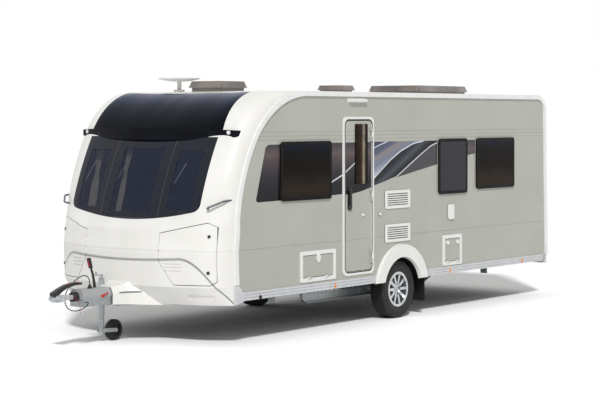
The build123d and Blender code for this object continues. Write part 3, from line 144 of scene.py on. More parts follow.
def dress(material, *names):
    """Gives CAD nodes their finish."""
    for name in names:
        data = nodes[name].data
        data.materials.clear()
        data.materials.append(material)
    print(material.name, "on", ", ".join(names))


print("mid grey 808080 is", round(linear("808080")[0], 3), "on the linear scale")

# %% [markdown]
# ## White mouldings
# The nose, the rear and the wheel spats are glass fibre laid in a polished
# mould behind a gelcoat. It is glossy with a slow ripple that only shows in
# reflections. Patches 350 mm wide drift by a shade, and the bump is long
# and shallow, so that the highlights bend a little.

# %% Gelcoat and white plastics
# Laid-up gelcoat: a hard, wet-looking white with broad soft highlights.
gelcoat = mottled("gelcoat_laid_up", "EFEEEA", 0.22,
                  "F0EFEB", "EBEAE5", 0.35, (0.18, 0.26), 0.08, 0.004, coat=0.2)
dress(gelcoat, "roof_panel", "rear_panel", "arch_trims", "drawbar_fairing")

# Powder-coated aluminium: an even satin white, a little cooler than the gelcoat.
rail_white = mottled("aluminium_rail_powder_coated", "F1F1EF", 0.34,
                     "F3F3F1", "ECECEA", 0.12, (0.3, 0.4), 0.05, 0.001, coat=0.15)
dress(rail_white, "edge_rails")

# Painted aluminium sill: a light grey satin that parts the wall from the shade below.
sill_grey = mottled("aluminium_sill_painted", "D2D4D6", 0.36,
                    "D6D8DA", "CCCED1", 0.12, (0.32, 0.42), 0.05, 0.001, coat=0.1)
dress(sill_grey, "skirts")

# Moulded ABS: a slightly duller white than the rails, with a faint 30 mm mottle.
white_plastic = mottled("abs_moulded_white", "EFEFEC", 0.38,
                        "F2F2EF", "E9E9E6", 0.03, (0.34, 0.44), 0.08, 0.0004)
dress(white_plastic, "door_frame", "hatch_frames", "awning_lamp", "roof_aerial")

# %% [markdown]
# The front moulding has a pressed step below the lockers' middle and a soft
# ridge above it. They run level across the nose, so the bump reads the
# height of each point and rises or falls there.

# %% Front moulding with its step
# Gelcoat again, with the pressed step and a painted shade band under it, which give the nose its shadow line.
nose_white, tree, shader, place = start("gelcoat_nose", "EFEEEA", 0.22, coat=0.2)
colour = mottle(tree, shader, place, "F0EFEB", "EBEAE5", 0.35, (0.18, 0.26))
axes = add_node(tree, "SeparateXYZ", {0: place})
bow = add_node(tree, "Math", {0: axes.outputs[0], 1: 2.0}, operation="POWER")
aside = add_node(tree, "Math", {0: axes.outputs[0]}, operation="ABSOLUTE")
past = add_node(tree, "Math", {0: aside, 1: 0.70}, operation="SUBTRACT")
past = add_node(tree, "Math", {0: past, 1: 0.0}, operation="MAXIMUM")
past = add_node(tree, "Math", {0: past, 1: past}, operation="MULTIPLY")
fall = add_node(tree, "Math", {0: past, 1: 2.7, 2: axes.outputs[2]}, operation="MULTIPLY_ADD")
height = add_node(tree, "Math", {0: bow, 1: -0.045, 2: fall}, operation="MULTIPLY_ADD")
# each is 1 above its height and 0 below it, over a soft edge
step, ridge, above = [
    add_node(tree, "MapRange", {"Value": line, "From Min": at - soft, "From Max": at + soft})
    for line, at, soft in ((height, 0.832, 0.012), (axes.outputs[2], 0.930, 0.012),
                           (axes.outputs[2], 0.975, 0.045))
]
crest = add_node(tree, "Math", {0: ridge, 1: above}, operation="SUBTRACT")
relief = add_node(tree, "Math", {0: crest, 1: 0.3, 2: step}, operation="MULTIPLY_ADD")
bump = add_node(tree, "Bump", {"Height": relief, "Strength": 0.9, "Distance": 0.02})
tree.links.new(bump.outputs[0], shader.inputs["Normal"])
# painted shade: a band just under the step is darkened by up to two fifths, fading out 16 mm from its middle
below = add_node(tree, "Math", {0: height, 1: 0.824}, operation="SUBTRACT")
below = add_node(tree, "Math", {0: below}, operation="ABSOLUTE")
painted_step_shade = add_node(tree, "MapRange", {
    "Value": below, "From Min": 0.004, "From Max": 0.016, "To Min": 0.6, "To Max": 1.0})
shade = add_node(tree, "Mix", {0: 1.0, 6: colour, 7: painted_step_shade.outputs[0]},
                 data_type="RGBA", blend_type="MULTIPLY")
tree.links.new(shade.outputs[2], shader.inputs["Base Color"])
dress(nose_white, "front_panel", "locker_door_near", "locker_door_off")

# %% [markdown]
# ## Side walls
# The walls are flat sheets bonded over foam, painted a warm grey. A pressed
# line runs at hip height and three fine ones run above the windows. Each is
# a narrow dip in the bump with a slightly darker colour, a painted shade for
# the crease.

# %% Painted wall sheet
wall_lines = [0.927, 2.002, 2.042, 2.082]   # heights of the pressed lines
line_half = 0.0028                          # each is 5.6 mm wide
# Coil-painted aluminium sheet: a warm grey satin, flat and even.
wall_grey, tree, shader, place = start("aluminium_sheet_painted", "B4B5AC", 0.36, coat=0.1)
colour = mottle(tree, shader, place, "B6B7AE", "B1B2A9", 0.5, (0.32, 0.4))
axes = add_node(tree, "SeparateXYZ", {0: place})
lines = 0.0
for at in wall_lines:
    near = add_node(tree, "Math", {0: axes.outputs[2], 1: at, 2: line_half}, operation="COMPARE").outputs[0]
    lines = add_node(tree, "Math", {0: lines, 1: near}, operation="ADD")
bump = add_node(tree, "Bump", {"Height": lines, "Strength": 0.6, "Distance": -0.002})
tree.links.new(bump.outputs[0], shader.inputs["Normal"])
# painted shade: each pressed line is darkened by a fifth
dim = add_node(tree, "MapRange", {"Value": lines, "To Min": 1.0, "To Max": 0.8})
shade = add_node(tree, "Mix", {0: 1.0, 6: colour, 7: dim.outputs[0]},
                 data_type="RGBA", blend_type="MULTIPLY")
tree.links.new(shade.outputs[2], shader.inputs["Base Color"])
dress(wall_grey, "side_wall_near", "side_wall_off", "entrance_door", "side_locker_door", "cassette_door")

# %% [markdown]
# The vents are white grilles. Their slots are shallow in the solid model,
# and on the real grille they open into shade, so the slot floor is dark.
# What stands out less than 6 mm from the near wall counts as slot floor.

# %% Vent grilles
slot_floor = 0.006
# Moulded ABS for the bars, and a dark grey where the slots open.
grille_white, tree, shader, place = start("abs_grille_white", "EFEFEC", 0.4)
axes = add_node(tree, "SeparateXYZ", {0: place})
open_slot = add_node(tree, "Math", {0: axes.outputs[0], 1: WALL + slot_floor},
                     operation="LESS_THAN").outputs[0]
mixed = add_node(tree, "Mix", {0: open_slot, 6: linear("EFEFEC"), 7: linear("4A4B4C")}, data_type="RGBA")
tree.links.new(mixed.outputs[2], shader.inputs["Base Color"])
dress(grille_white, "wall_fittings")

# %% [markdown]
# ## Black glazing
# The roof window and the visor are acrylic sheet formed over a mould: deep
# blue-black with a clear skin, and the roof window has a painted sky reflection
# at its top. The side panes are a brown-black acrylic.

# %% Acrylic finishes
# Formed acrylic: near black low down, and bluer where it turns to the sky, as a painted sky reflection.
roof_black, tree, shader, place = start("acrylic_formed_painted_sky_reflection", "0B1020", 0.1, gloss=0.06)
axes = add_node(tree, "SeparateXYZ", {0: place})
rise = add_node(tree, "MapRange", {"Value": axes.outputs[2], "From Min": 2.08, "From Max": 2.48})
ramp = add_node(tree, "ValToRGB", {"Fac": rise})
set_stops(ramp, [(0.0, "05060B"), (0.35, "0B0E18"), (0.7, "141A2C"), (1.0, "1E3254")])
tree.links.new(ramp.outputs["Color"], shader.inputs["Base Color"])
# Formed black acrylic: an even black, without the roof window's painted sky reflection.
visor_black = mottled("acrylic_formed_black", "0D0F18", 0.1,
                      "10131D", "090A10", 0.3, (0.08, 0.13), 0.03, 0.001, gloss=0.08)
dress(roof_black, "front_skylight")
dress(visor_black, "front_visor")

# Brown-tinted acrylic: a brown foot, a near-black middle and a navy head.
pane_brown, tree, shader, place = start("acrylic_tinted_brown", "1B1714", 0.08, gloss=0.06)
axes = add_node(tree, "SeparateXYZ", {0: place})
noise = add_node(tree, "TexNoise", {"Vector": place, "Scale": 4.0, "Detail": 3.0})
wave = add_node(tree, "Math", {0: noise.outputs["Fac"], 1: 0.12}, operation="MULTIPLY")
shifted = add_node(tree, "Math", {0: axes.outputs[2], 1: wave}, operation="ADD")
rise = add_node(tree, "MapRange", {"Value": shifted, "From Min": 1.40, "From Max": 2.04})
ramp = add_node(tree, "ValToRGB", {"Fac": rise})
set_stops(ramp, [(0.0, "241C16"), (0.25, "2E261F"), (0.5, "17120F"), (0.82, "12100F"), (1.0, "151C30")])
# the blind is down behind the middle near pane, so it reads as a lighter grey
behind = add_node(tree, "Math", {0: axes.outputs[1], 1: 1.526, 2: 0.27}, operation="COMPARE")
nearside = add_node(tree, "Math", {0: axes.outputs[0], 1: 0.0}, operation="GREATER_THAN")
blind = add_node(tree, "Math", {0: behind, 1: nearside}, operation="MULTIPLY")
mixed = add_node(tree, "Mix", {0: blind, 6: ramp.outputs["Color"], 7: linear("3E3E43")},
                 data_type="RGBA")
tree.links.new(mixed.outputs[2], shader.inputs["Base Color"])
dress(pane_brown, "side_windows")

# Brown acrylic again. Inside the door's narrow pane a curtain shows as one pale streak.
door_pane, tree, shader, place = start("acrylic_door_pane", "1B1410", 0.08, gloss=0.06)
pane_low, pane_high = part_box("door_window")
axes = add_node(tree, "SeparateXYZ", {0: place})
across = add_node(tree, "MapRange", {
    "Value": axes.outputs[1], "From Min": pane_low[1], "From Max": pane_high[1]})
ramp = add_node(tree, "ValToRGB", {"Fac": across})
set_stops(ramp, [(0.0, "14100D"), (0.2, "2C1E15"), (0.5, "3A2A1F"), (0.62, "8F8375"),
                 (0.72, "9A9084"), (0.8, "30231A"), (1.0, "120E0B")])
noise = add_node(tree, "TexNoise", {"Vector": place, "Scale": 9.0, "Detail": 3.0})
dim = add_node(tree, "MapRange", {
    "Value": noise.outputs["Fac"], "From Min": 0.3, "From Max": 0.7, "To Min": 0.55, "To Max": 1.1})
shade = add_node(tree, "Mix", {0: 1.0, 6: ramp.outputs["Color"], 7: dim.outputs[0]},
                 data_type="RGBA", blend_type="MULTIPLY")
tree.links.new(shade.outputs[2], shader.inputs["Base Color"])
dress(door_pane, "door_window")

# %% [markdown]
# The front window is one bowed unit of three panes. A wide black border is
# printed on the inside, and only the middles are clear. So one material
# changes its colour by place, and lets light through in the clear fields.

# %% Front window
window_clear = [
    # middle, half width, low, high of each clear field
    (-0.625, 0.155, 1.325, 1.905),
    (0.0, 0.275, 1.290, 1.925),
    (0.625, 0.155, 1.325, 1.905),
]
# Bowed three-pane acrylic: blue-black borders, and smoky fields that show the curtains.
front_glass, tree, shader, place = start("acrylic_front_three_pane", "20232F", 0.07, gloss=0.2)
axes = add_node(tree, "SeparateXYZ", {0: place})
clear = 0.0
for middle, half, low, high in window_clear:
    offset = add_node(tree, "Math", {0: axes.outputs[0], 1: middle}, operation="SUBTRACT")
    offset = add_node(tree, "Math", {0: offset}, operation="ABSOLUTE")
    across = add_node(tree, "MapRange", {"Value": offset, "From Min": half, "From Max": half - 0.012})
    bottom = add_node(tree, "MapRange", {
        "Value": axes.outputs[2], "From Min": low - 0.006, "From Max": low + 0.006})
    top = add_node(tree, "MapRange", {
        "Value": axes.outputs[2], "From Min": high + 0.006, "From Max": high - 0.006})
    upright = add_node(tree, "Math", {0: bottom, 1: top}, operation="MULTIPLY")
    field = add_node(tree, "Math", {0: across, 1: upright}, operation="MULTIPLY")
    clear = add_node(tree, "Math", {0: clear, 1: field}, operation="ADD")
seam = 0.0
for at in (-0.39, 0.39):
    near = add_node(tree, "Math", {0: axes.outputs[0], 1: at, 2: 0.003}, operation="COMPARE")
    seam = add_node(tree, "Math", {0: seam, 1: near}, operation="ADD")
edge = add_node(tree, "Mix", {0: seam, 6: linear("1D202B"), 7: linear("4E4B42")}, data_type="RGBA")
tint = add_node(tree, "Mix", {0: clear, 6: edge.outputs[2], 7: linear("2B3246")}, data_type="RGBA")
see = add_node(tree, "MapRange", {"Value": clear, "To Min": 1.0, "To Max": 0.42})
tree.links.new(tint.outputs[2], shader.inputs["Base Color"])
tree.links.new(see.outputs[0], shader.inputs["Alpha"])
dress(front_glass, "front_window")

# %% [markdown]
# ## Steel and zinc
# The chassis and drawbar are folded steel, hot-dip galvanised. Zinc sets in
# flat crystals, a spangle about 12 mm across, drawn here with Voronoi cells
# that differ a little in grey and in roughness.

# %% Zinc
def galvanised(name, light, dark, grain):
    """Zinc crystals of one grain size in metres, each with its own grey and roughness."""
    material, tree, shader, place = start(name, light, 0.42, metallic=0.85)
    cells = add_node(tree, "TexVoronoi", {"Vector": place, "Scale": 1 / grain})
    tone = add_node(tree, "SeparateColor", {0: cells.outputs["Color"]}).outputs[0]
    mixed = add_node(tree, "Mix", {0: tone, 6: linear(dark), 7: linear(light)}, data_type="RGBA")
    rough = add_node(tree, "MapRange", {"Value": tone, "To Min": 0.34, "To Max": 0.52})
    tree.links.new(mixed.outputs[2], shader.inputs["Base Color"])
    tree.links.new(rough.outputs[0], shader.inputs["Roughness"])
    return material


# Hot-dip zinc is a dull, spangled grey. Plated zinc is brighter.
zinc = galvanised("steel_hot_dip_galvanised", "B9BDBF", "9FA4A7", 0.012)
bright_zinc = galvanised("steel_bright_zinc_plated", "D2D5D8", "B7BBBF", 0.02)
dress(zinc, "chassis", "drawbar", "axle", "jockey_tube", "jockey_stem", "jockey_fork",
      "steady_front_near", "steady_front_off", "steady_rear_near", "steady_rear_off")
dress(bright_zinc, "coupling_head", "breakaway_clip")

# %% [markdown]
# ## Alloy and moulded plastics
# The rims are cast aluminium under a clear lacquer. Handles and hitch covers
# are injection-moulded, with a grain of 10 to 20 mm that breaks up their
# highlights. A mottle with a very slight bump is enough for both.

# %% Alloy and plastics
# Lacquered cast alloy: a bright silver with soft edges to its highlights.
alloy = mottled("aluminium_cast_lacquered", "DEE0E2", 0.3,
                "E2E4E6", "D6D8DA", 0.05, (0.26, 0.36), 0.05, 0.0005, metallic=1.0)
dress(alloy, "rim_near", "rim_off")

# Gunmetal nylon: a mid grey with a slight sheen.
handle_grey = mottled("nylon_gunmetal", "5E6268", 0.35, "676B71", "54585E", 0.02, (0.3, 0.42), 0.1, 0.0005)
dress(handle_grey, "grab_handles")

# Moulded polypropylene: a flat light grey.
cover_grey = mottled("pp_moulded_light_grey", "A7A8A9", 0.45,
                     "ACADAE", "A0A1A2", 0.02, (0.4, 0.52), 0.15, 0.0005)
dress(cover_grey, "drawbar_cover")

# Moulded black nylon: black that still shows its edges.
black_plastic = mottled("nylon_moulded_black", "17181A", 0.42,
                        "1D1E20", "131416", 0.01, (0.36, 0.5), 0.2, 0.0004)
dress(black_plastic, "coupling_handle", "lead_gland", "handbrake_lever",
      "wheel_boxes", "floor_panel")

# %% [markdown]
# ## Rubber
# Bellows, mudflaps and the jockey wheel are moulded rubber. It is nearly
# black and rough, and an 8 mm mottle stands for its dusty skin.

# %% Moulded rubber
# Moulded rubber: a dull black with hardly a highlight.
rubber = mottled("rubber_moulded", "161616", 0.62, "1C1C1C", "111111", 0.008, (0.55, 0.7), 0.2, 0.0004)
dress(rubber, "overrun_bellows", "mudflaps", "jockey_wheel")

# %% [markdown]
# A tyre shows fine circles moulded in its sidewall and grooves round its
# tread. Both follow the wheel, so the pattern reads the distance from the
# wheel's centre line and the place across the tread.

# %% Tyres
# Tyre rubber: a dull black, with painted shade in the cuts.
tyre_black, tree, shader, place = start("tyre_rubber", "1C1B1A", 0.75)
axes = add_node(tree, "SeparateXYZ", {0: place})
aft = add_node(tree, "Math", {0: axes.outputs[1], 1: AXLE}, operation="SUBTRACT")
up = add_node(tree, "Math", {0: axes.outputs[2], 1: WHEEL_Z}, operation="SUBTRACT")
aft_squared = add_node(tree, "Math", {0: aft, 1: aft}, operation="MULTIPLY")
up_squared = add_node(tree, "Math", {0: up, 1: up}, operation="MULTIPLY")
reach = add_node(tree, "Math", {0: aft_squared, 1: up_squared}, operation="ADD")
reach = add_node(tree, "Math", {0: reach, 1: 0.5}, operation="POWER")
# a sine of 520 per metre gives the sidewall a ring every 12 mm
rings = add_node(tree, "Math", {0: reach, 1: 520.0}, operation="MULTIPLY")
rings = add_node(tree, "Math", {0: rings}, operation="SINE")
rings = add_node(tree, "Math", {0: rings, 1: 0.12}, operation="MULTIPLY")
# a cosine of 210 per metre gives the tread a groove every 30 mm
across = add_node(tree, "Math", {0: axes.outputs[0]}, operation="ABSOLUTE")
across = add_node(tree, "Math", {0: across, 1: TRACK_HALF}, operation="SUBTRACT")
grooves = add_node(tree, "Math", {0: across, 1: 210.0}, operation="MULTIPLY")
grooves = add_node(tree, "Math", {0: grooves}, operation="COSINE")
# 70 cross cuts run round the wheel, and both stop at the edge of the tread
sipes = add_node(tree, "Math", {0: aft, 1: up}, operation="ARCTAN2")
sipes = add_node(tree, "Math", {0: sipes, 1: 70.0}, operation="MULTIPLY")
sipes = add_node(tree, "Math", {0: sipes}, operation="SINE")
sipes = add_node(tree, "Math", {0: sipes, 1: 0.6}, operation="MULTIPLY")
on_tread = add_node(tree, "MapRange", {"Value": reach, "From Min": 0.305, "From Max": 0.313})
cut = add_node(tree, "Math", {0: grooves, 1: sipes}, operation="MAXIMUM")
cut = add_node(tree, "Math", {0: cut, 1: on_tread}, operation="MULTIPLY")
relief = add_node(tree, "Math", {0: rings, 1: cut}, operation="SUBTRACT")
bump = add_node(tree, "Bump", {"Height": relief, "Strength": 0.8, "Distance": 0.006})
tree.links.new(bump.outputs[0], shader.inputs["Normal"])
# painted shade: the cuts are darker than the ribs
tone = add_node(tree, "Mix", {0: cut, 6: linear("232221"), 7: linear("0C0C0C")}, data_type="RGBA")
tree.links.new(tone.outputs[2], shader.inputs["Base Color"])
dress(tyre_black, "tyre_near", "tyre_off")

# %% [markdown]
# ## Lamps and rooflights
# Lenses are moulded acrylic, deep in colour under a clear wet skin, so they
# get a coat. The rear lamp is one lens in bands, so its colour steps with
# height. The rooflights are smoked domes.

# %% Lamps and rooflights
# Amber acrylic: a warm orange that changes a little every 10 mm.
amber = mottled("pmma_amber_lens", "F08A12", 0.12, "F59A20", "E67A08", 0.01, coat=0.6)
dress(amber, "side_markers")

# Red, clear and amber acrylic in bands, as tail, reversing and turning lamps have.
rear_lens, tree, shader, place = start("pmma_rear_lens", "A80F12", 0.12, coat=0.6)
axes = add_node(tree, "SeparateXYZ", {0: place})
band = add_node(tree, "MapRange", {"Value": axes.outputs[2], "From Min": 0.70, "From Max": 1.12})
ramp = add_node(tree, "ValToRGB", {"Fac": band.outputs[0]})
ramp.color_ramp.interpolation = "CONSTANT"
set_stops(ramp, [(0.0, "A80F12"), (0.34, "E6E4DF"), (0.5, "E8860F"), (0.66, "A80F12")])
tree.links.new(ramp.outputs["Color"], shader.inputs["Base Color"])
dress(rear_lens, "rear_lamps")

# Smoked acrylic: a brown-grey under a wet skin.
dome = mottled("acrylic_smoked_dome", "6A625E", 0.15, "7C736D", "57504C", 0.3, (0.12, 0.2), coat=0.6)
dress(dome, "rooflights")

# %% [markdown]
# ## Inside
# Little shows through the tinted panes, but the furniture still has its
# foil of oak: long dark streaks every 25 mm or so along the grain.

# %% Oak foil
# Printed oak foil: a mid brown, satin, streaked upwards.
oak = mottled("oak_foil_on_ply", "9C7C58", 0.45,
              "A98863", "86683F", 0.3, (0.4, 0.55), 0.1, 0.0005, (12, 12, 1))
dress(oak, "furniture")

# %% [markdown]
# ## Camera and light
# A long lens far away keeps the walls nearly parallel. The camera looks level
# and its lens is shifted down, so that upright edges stay upright. One soft
# sun and an even pale sky stand for an open, bright yard.

# %% Camera, sun, sky and floor
bpy.ops.object.camera_add(location=(11.728, -15.138, 2.245),
                          rotation=(math.radians(90), 0, math.radians(37.598)))
camera = bpy.context.object
camera.name = "camera"
camera.data.sensor_width = 36
camera.data.lens = 101.84
camera.data.shift_y = -0.1398
bpy.context.scene.camera = camera
bpy.context.scene.view_settings.view_transform = "Standard"

sun_way = Vector((0.50, -0.55, 0.66))
bpy.ops.object.light_add(type="SUN", location=(5, -6, 8),
                         rotation=sun_way.to_track_quat("Z", "Y").to_euler())
sun = bpy.context.object
sun.name = "sun"
sun.data.energy = 2.0
sun.data.angle = math.radians(6)

world = bpy.data.worlds.new("pale_sky")
bpy.context.scene.world = world
world.use_nodes = True
tree = world.node_tree
rays = add_node(tree, "LightPath")
seen = rays.outputs["Is Camera Ray"]
for kind in ("Is Glossy Ray", "Is Transmission Ray"):
    seen = add_node(tree, "Math", {0: seen, 1: rays.outputs[kind]}, operation="MAXIMUM").outputs[0]
power = add_node(tree, "MapRange", {"Value": seen, "To Min": 0.4, "To Max": 1.0})
tree.links.new(power.outputs[0], tree.nodes["Background"].inputs["Strength"])
tree.nodes["Background"].inputs["Color"].default_value = linear("FFFFFF")

# The lamps are set for the pale body. Painted white floor: only to the camera is it a
# quarter paler than paint, so that it stays white and keeps the shadow.
ground, tree, shader, place = start("floor_painted_white", "FCFCFC", 0.95, gloss=0.0)
rays = add_node(tree, "LightPath")
paler = add_node(tree, "Mix", {
    0: rays.outputs["Is Camera Ray"], 6: linear("FCFCFC"), 7: (1.27, 1.27, 1.27, 1.0)}, data_type="RGBA")
tree.links.new(paler.outputs[2], shader.inputs["Base Color"])
bpy.ops.object.select_all(action="DESELECT")
bpy.ops.mesh.primitive_plane_add(size=160, location=(0, 0, -0.0005))
floor = bpy.context.object
floor.name = "floor"
bpy.ops.object.transform_apply(location=True, rotation=True, scale=True)
floor.data.materials.append(ground)
print("camera at", tuple(round(c, 2) for c in camera.location))

# %% [markdown]
# ## Making small pieces
# Most of what a maker fits last is round or flat. A knob starts as a
# cylinder whose end is inset and pushed in, then its rim is bevelled. A flat
# piece starts as a filled outline, which becomes a mesh with a thickness.
# A ray cast on the solid model gives the spot each one sits on.

# %% Helpers for pieces
def only(piece):
    """Makes one object the active one and the only one selected."""
    bpy.ops.object.select_all(action="DESELECT")
    piece.select_set(True)
    bpy.context.view_layer.objects.active = piece


def settle(piece, name, material, body):
    """Names a finished piece, gives it its finish and its body, and puts its place into its mesh."""
    only(piece)
    bpy.ops.object.transform_apply(location=True, rotation=True, scale=True)
    piece.name = name
    piece.data.name = name
    piece.data.materials.clear()
    piece.data.materials.append(material)
    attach(piece, body)
    return piece


def touch(name, begin, way):
    """The first point and normal that a ray meets on a CAD node."""
    data = nodes[name].data
    solid = BVHTree.FromPolygons([v.co for v in data.vertices], [tuple(p.vertices) for p in data.polygons])
    point, normal, _, _ = solid.ray_cast(Vector(begin), Vector(way))
    if point is None:
        raise ValueError(f"nothing of {name} on the line from {begin}")
    return point, normal


def pick(piece, test):
    """Selects the faces that pass a test, and opens the mesh for editing."""
    data = piece.data
    for group in (data.vertices, data.edges, data.polygons):
        group.foreach_set("select", [False] * len(group))
    for face in data.polygons:
        face.select = test(face)
    bpy.ops.object.mode_set(mode="EDIT")
    bpy.ops.mesh.select_mode(type="FACE")


def knob(name, at, out, radius, depth, material, body, sides=32, dish=0.0, oblong=1.0):
    """A round or many-sided boss that stands out of a surface, with a dished or raised middle."""
    sink = 0.002    # its foot goes this far into the surface
    bpy.ops.object.select_all(action="DESELECT")
    bpy.ops.mesh.primitive_cylinder_add(vertices=sides, radius=radius, depth=depth + sink, location=(0, 0, 0))
    piece = bpy.context.object
    pick(piece, lambda face: face.normal.z > 0.9)
    bpy.ops.mesh.inset(thickness=radius * 0.3)
    bpy.ops.transform.translate(value=(0, 0, dish))
    bpy.ops.mesh.inset(thickness=radius * 0.15)
    bpy.ops.object.mode_set(mode="OBJECT")
    rim = piece.modifiers.new("rim", "BEVEL")
    rim.width = min(radius, depth) * 0.18
    rim.segments = 2
    rim.limit_method = "ANGLE"
    bpy.ops.object.modifier_apply(modifier="rim")
    bpy.ops.object.shade_smooth_by_angle(angle=math.radians(35))
    way = Vector(out).normalized()
    piece.rotation_mode = "QUATERNION"
    piece.rotation_quaternion = way.to_track_quat("Z", "Y")
    piece.scale = (1.0, oblong, 1.0)
    piece.location = Vector(at) + way * (depth - sink) / 2
    return settle(piece, name, material, body)


def rounded(low_y, high_y, low_z, high_z, corner, steps=7):
    """The outline of a rectangle with round corners, as y and z."""
    points = []
    for y, z, begin in ((high_y - corner, high_z - corner, 0), (low_y + corner, high_z - corner, 90),
                        (low_y + corner, low_z + corner, 180), (high_y - corner, low_z + corner, 270)):
        for step_at in range(steps + 1):
            turn = math.radians(begin + 90 * step_at / steps)
            points.append((y + corner * math.cos(turn), z + corner * math.sin(turn)))
    return points


def flat_shape(name, outlines, x, thick, material, body, edge=0.0, side=1):
    """A filled outline on a plane at x. A second outline inside the first is a hole.

    Its points are y from the wheel centres, and z.
    """
    curve = bpy.data.curves.new(name, "CURVE")
    curve.dimensions = "2D"
    curve.fill_mode = "BOTH"
    curve.extrude = thick / 2 - edge
    curve.bevel_depth = edge
    curve.bevel_resolution = 1
    curve.offset = -edge
    for outline in outlines:
        line = curve.splines.new("POLY")
        line.points.add(len(outline) - 1)
        for point, (y, z) in zip(line.points, outline):
            point.co = (side * (y + AXLE), z, 0, 1)
        line.use_cyclic_u = True
    piece = bpy.data.objects.new(name, curve)
    bpy.context.collection.objects.link(piece)
    only(piece)
    bpy.ops.object.convert(target="MESH")
    piece = bpy.context.object
    piece.rotation_euler = (math.radians(90), 0, side * math.radians(90))
    piece.location = (side * x, 0, 0)
    return settle(piece, name, material, body)


def round_line(name, points, radius, smooth):
    """One smooth spline in metres with a round section, drawn by its turning points."""
    curve = bpy.data.curves.new(name, "CURVE")
    curve.dimensions = "3D"
    curve.bevel_depth = radius
    curve.bevel_resolution = smooth
    curve.use_fill_caps = True
    line = curve.splines.new("NURBS")
    line.points.add(len(points) - 1)
    for point, at in zip(line.points, points):
        point.co = (*at, 1)
    line.use_endpoint_u = True
    line.order_u = min(3, len(points))
    line.resolution_u = 12
    piece = bpy.data.objects.new(name, curve)
    bpy.context.collection.objects.link(piece)
    return piece


print("helpers ready: only, settle, touch, pick, knob, rounded, flat_shape, round_line")

# %% [markdown]
# ## Cords
# The seven-core lead leaves its gland upright, bows out beside the drawbar
# and comes back to it, with a 10 mm jacket. The breakaway wire is a limp
# 4 mm coated wire from the hitch down to its clip. Each is one smooth
# spline, drawn by the places where it turns.

# %% Lead and breakaway wire
# PVC jacket: a soft black with a thin line of light along it.
lead_black = mottled("pvc_jacket_black", "1A1A1C", 0.4, "202022", "141415", 0.006, (0.34, 0.46), 0.1, 0.0003)
# Red PVC coating: bright enough to be found in a hurry.
wire_red = mottled("pvc_coated_wire_red", "9B1B1E", 0.35, "A82024", "8A1518", 0.004, (0.3, 0.4), 0.1, 0.0002)


def cord_line(name, points, radius, material):
    """A cord through its turning points, which stays a curve and rides with the body."""
    cord = round_line(name, points, radius, 6)
    cord.data.materials.append(material)
    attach(cord, "caravan")
    return cord


lead = cord_line("seven_core_lead", [
    (0.008, -3.278, 0.600), (0.008, -3.278, 0.650), (0.004, -3.320, 0.698), (-0.014, -3.382, 0.690),
    (-0.040, -3.448, 0.642), (-0.062, -3.512, 0.572), (-0.066, -3.546, 0.500), (-0.058, -3.546, 0.424),
    (-0.034, -3.518, 0.374), (0.014, -3.488, 0.362), (0.070, -3.482, 0.374), (0.112, -3.464, 0.394),
    (0.126, -3.434, 0.420), (0.122, -3.403, 0.446), (0.090, -3.403, 0.446),
], 0.005, lead_black)
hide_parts("electric_lead")

wire = cord_line("breakaway_line", [
    (0.034, -3.548, 0.505), (0.062, -3.548, 0.505), (0.090, -3.538, 0.488), (0.106, -3.514, 0.446),
    (0.100, -3.498, 0.398), (0.100, -3.498, 0.346),
], 0.002, wire_red)
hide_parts("breakaway_wire")
print("two cords")

# %% [markdown]
# ## Window borders
# Each side pane is double acrylic with a black border printed round it,
# 36 mm wide, that hides the glue line. An outline with a hole in it,
# filled and given a thickness, lies just proud of the pane.

# %% Printed borders on the panes
# Printed black border: duller and blacker than the pane it frames.
lip_black = mottled("acrylic_border_printed_black", "15110F", 0.2,
                    "1A1512", "0E0C0B", 0.2, (0.16, 0.26), gloss=0.1)
border, overlap = 0.034, 0.002    # how far the print reaches into a pane, and past its edge
# fore edge, rear edge, foot and head of each pane
near_panes = [(-2.201, -1.344, 1.384, 1.984), (0.720, 1.329, 1.351, 1.984), (1.537, 2.407, 1.385, 1.984)]
off_panes = [(-2.201, -1.344, 1.384, 1.984), (-0.760, 0.060, 1.480, 1.984), (1.000, 1.870, 1.385, 1.984),
             (2.680, 2.980, 1.560, 1.984)]
for side, panes in ((1, near_panes), (-1, off_panes)):
    for number, (fore, aft, low, high) in enumerate(panes):
        outer = rounded(fore - overlap, aft + overlap, low - overlap, high + overlap, 0.036)
        inner = rounded(fore + border, aft - border, low + border, high - border, 0.020)
        label = LABEL[side]
        flat_shape(f"window_border_{label}_{number}", [outer, inner], WALL + 0.0196, 0.0016,
                   lip_black, "caravan", 0.0003, side)
print("window borders", len(near_panes) + len(off_panes))

# %% [markdown]
# ## Side films
# The stripes are cast vinyl film laid on the paint: a smoky band, a silver
# edge line, a blue-grey sheen and a carbon weave. Each is a closed shape cut
# to its outline, 0.8 mm thick, and the silver lines lie on top of the rest.

# %% Film finishes
def banded(name, colours, low, high, slope=0.0):
    """A film whose colour runs through hex stops between two lines, tilted by a slope along the side."""
    material, tree, shader, place = start(name, colours[0][1], 0.18, gloss=0.2)
    axes = add_node(tree, "SeparateXYZ", {0: place})
    tilted = add_node(tree, "Math", {0: axes.outputs[1], 1: -slope, 2: axes.outputs[2]},
                      operation="MULTIPLY_ADD")
    level = add_node(tree, "MapRange", {"Value": tilted, "From Min": low, "From Max": high})
    ramp = add_node(tree, "ValToRGB", {"Fac": level})
    set_stops(ramp, colours)
    return material, tree, shader, place, ramp


# Net-printed cast film: a smoky brown band, darker at its foot.
film_net, tree, shader, place, ramp = banded("vinyl_film_net_print", [
    (0.0, "18191C"), (0.25, "232328"), (0.5, "3A363B"), (0.72, "5A4F52"), (0.8, "6A5C5B"),
    (1.0, "403C48")], 1.40, 1.97)
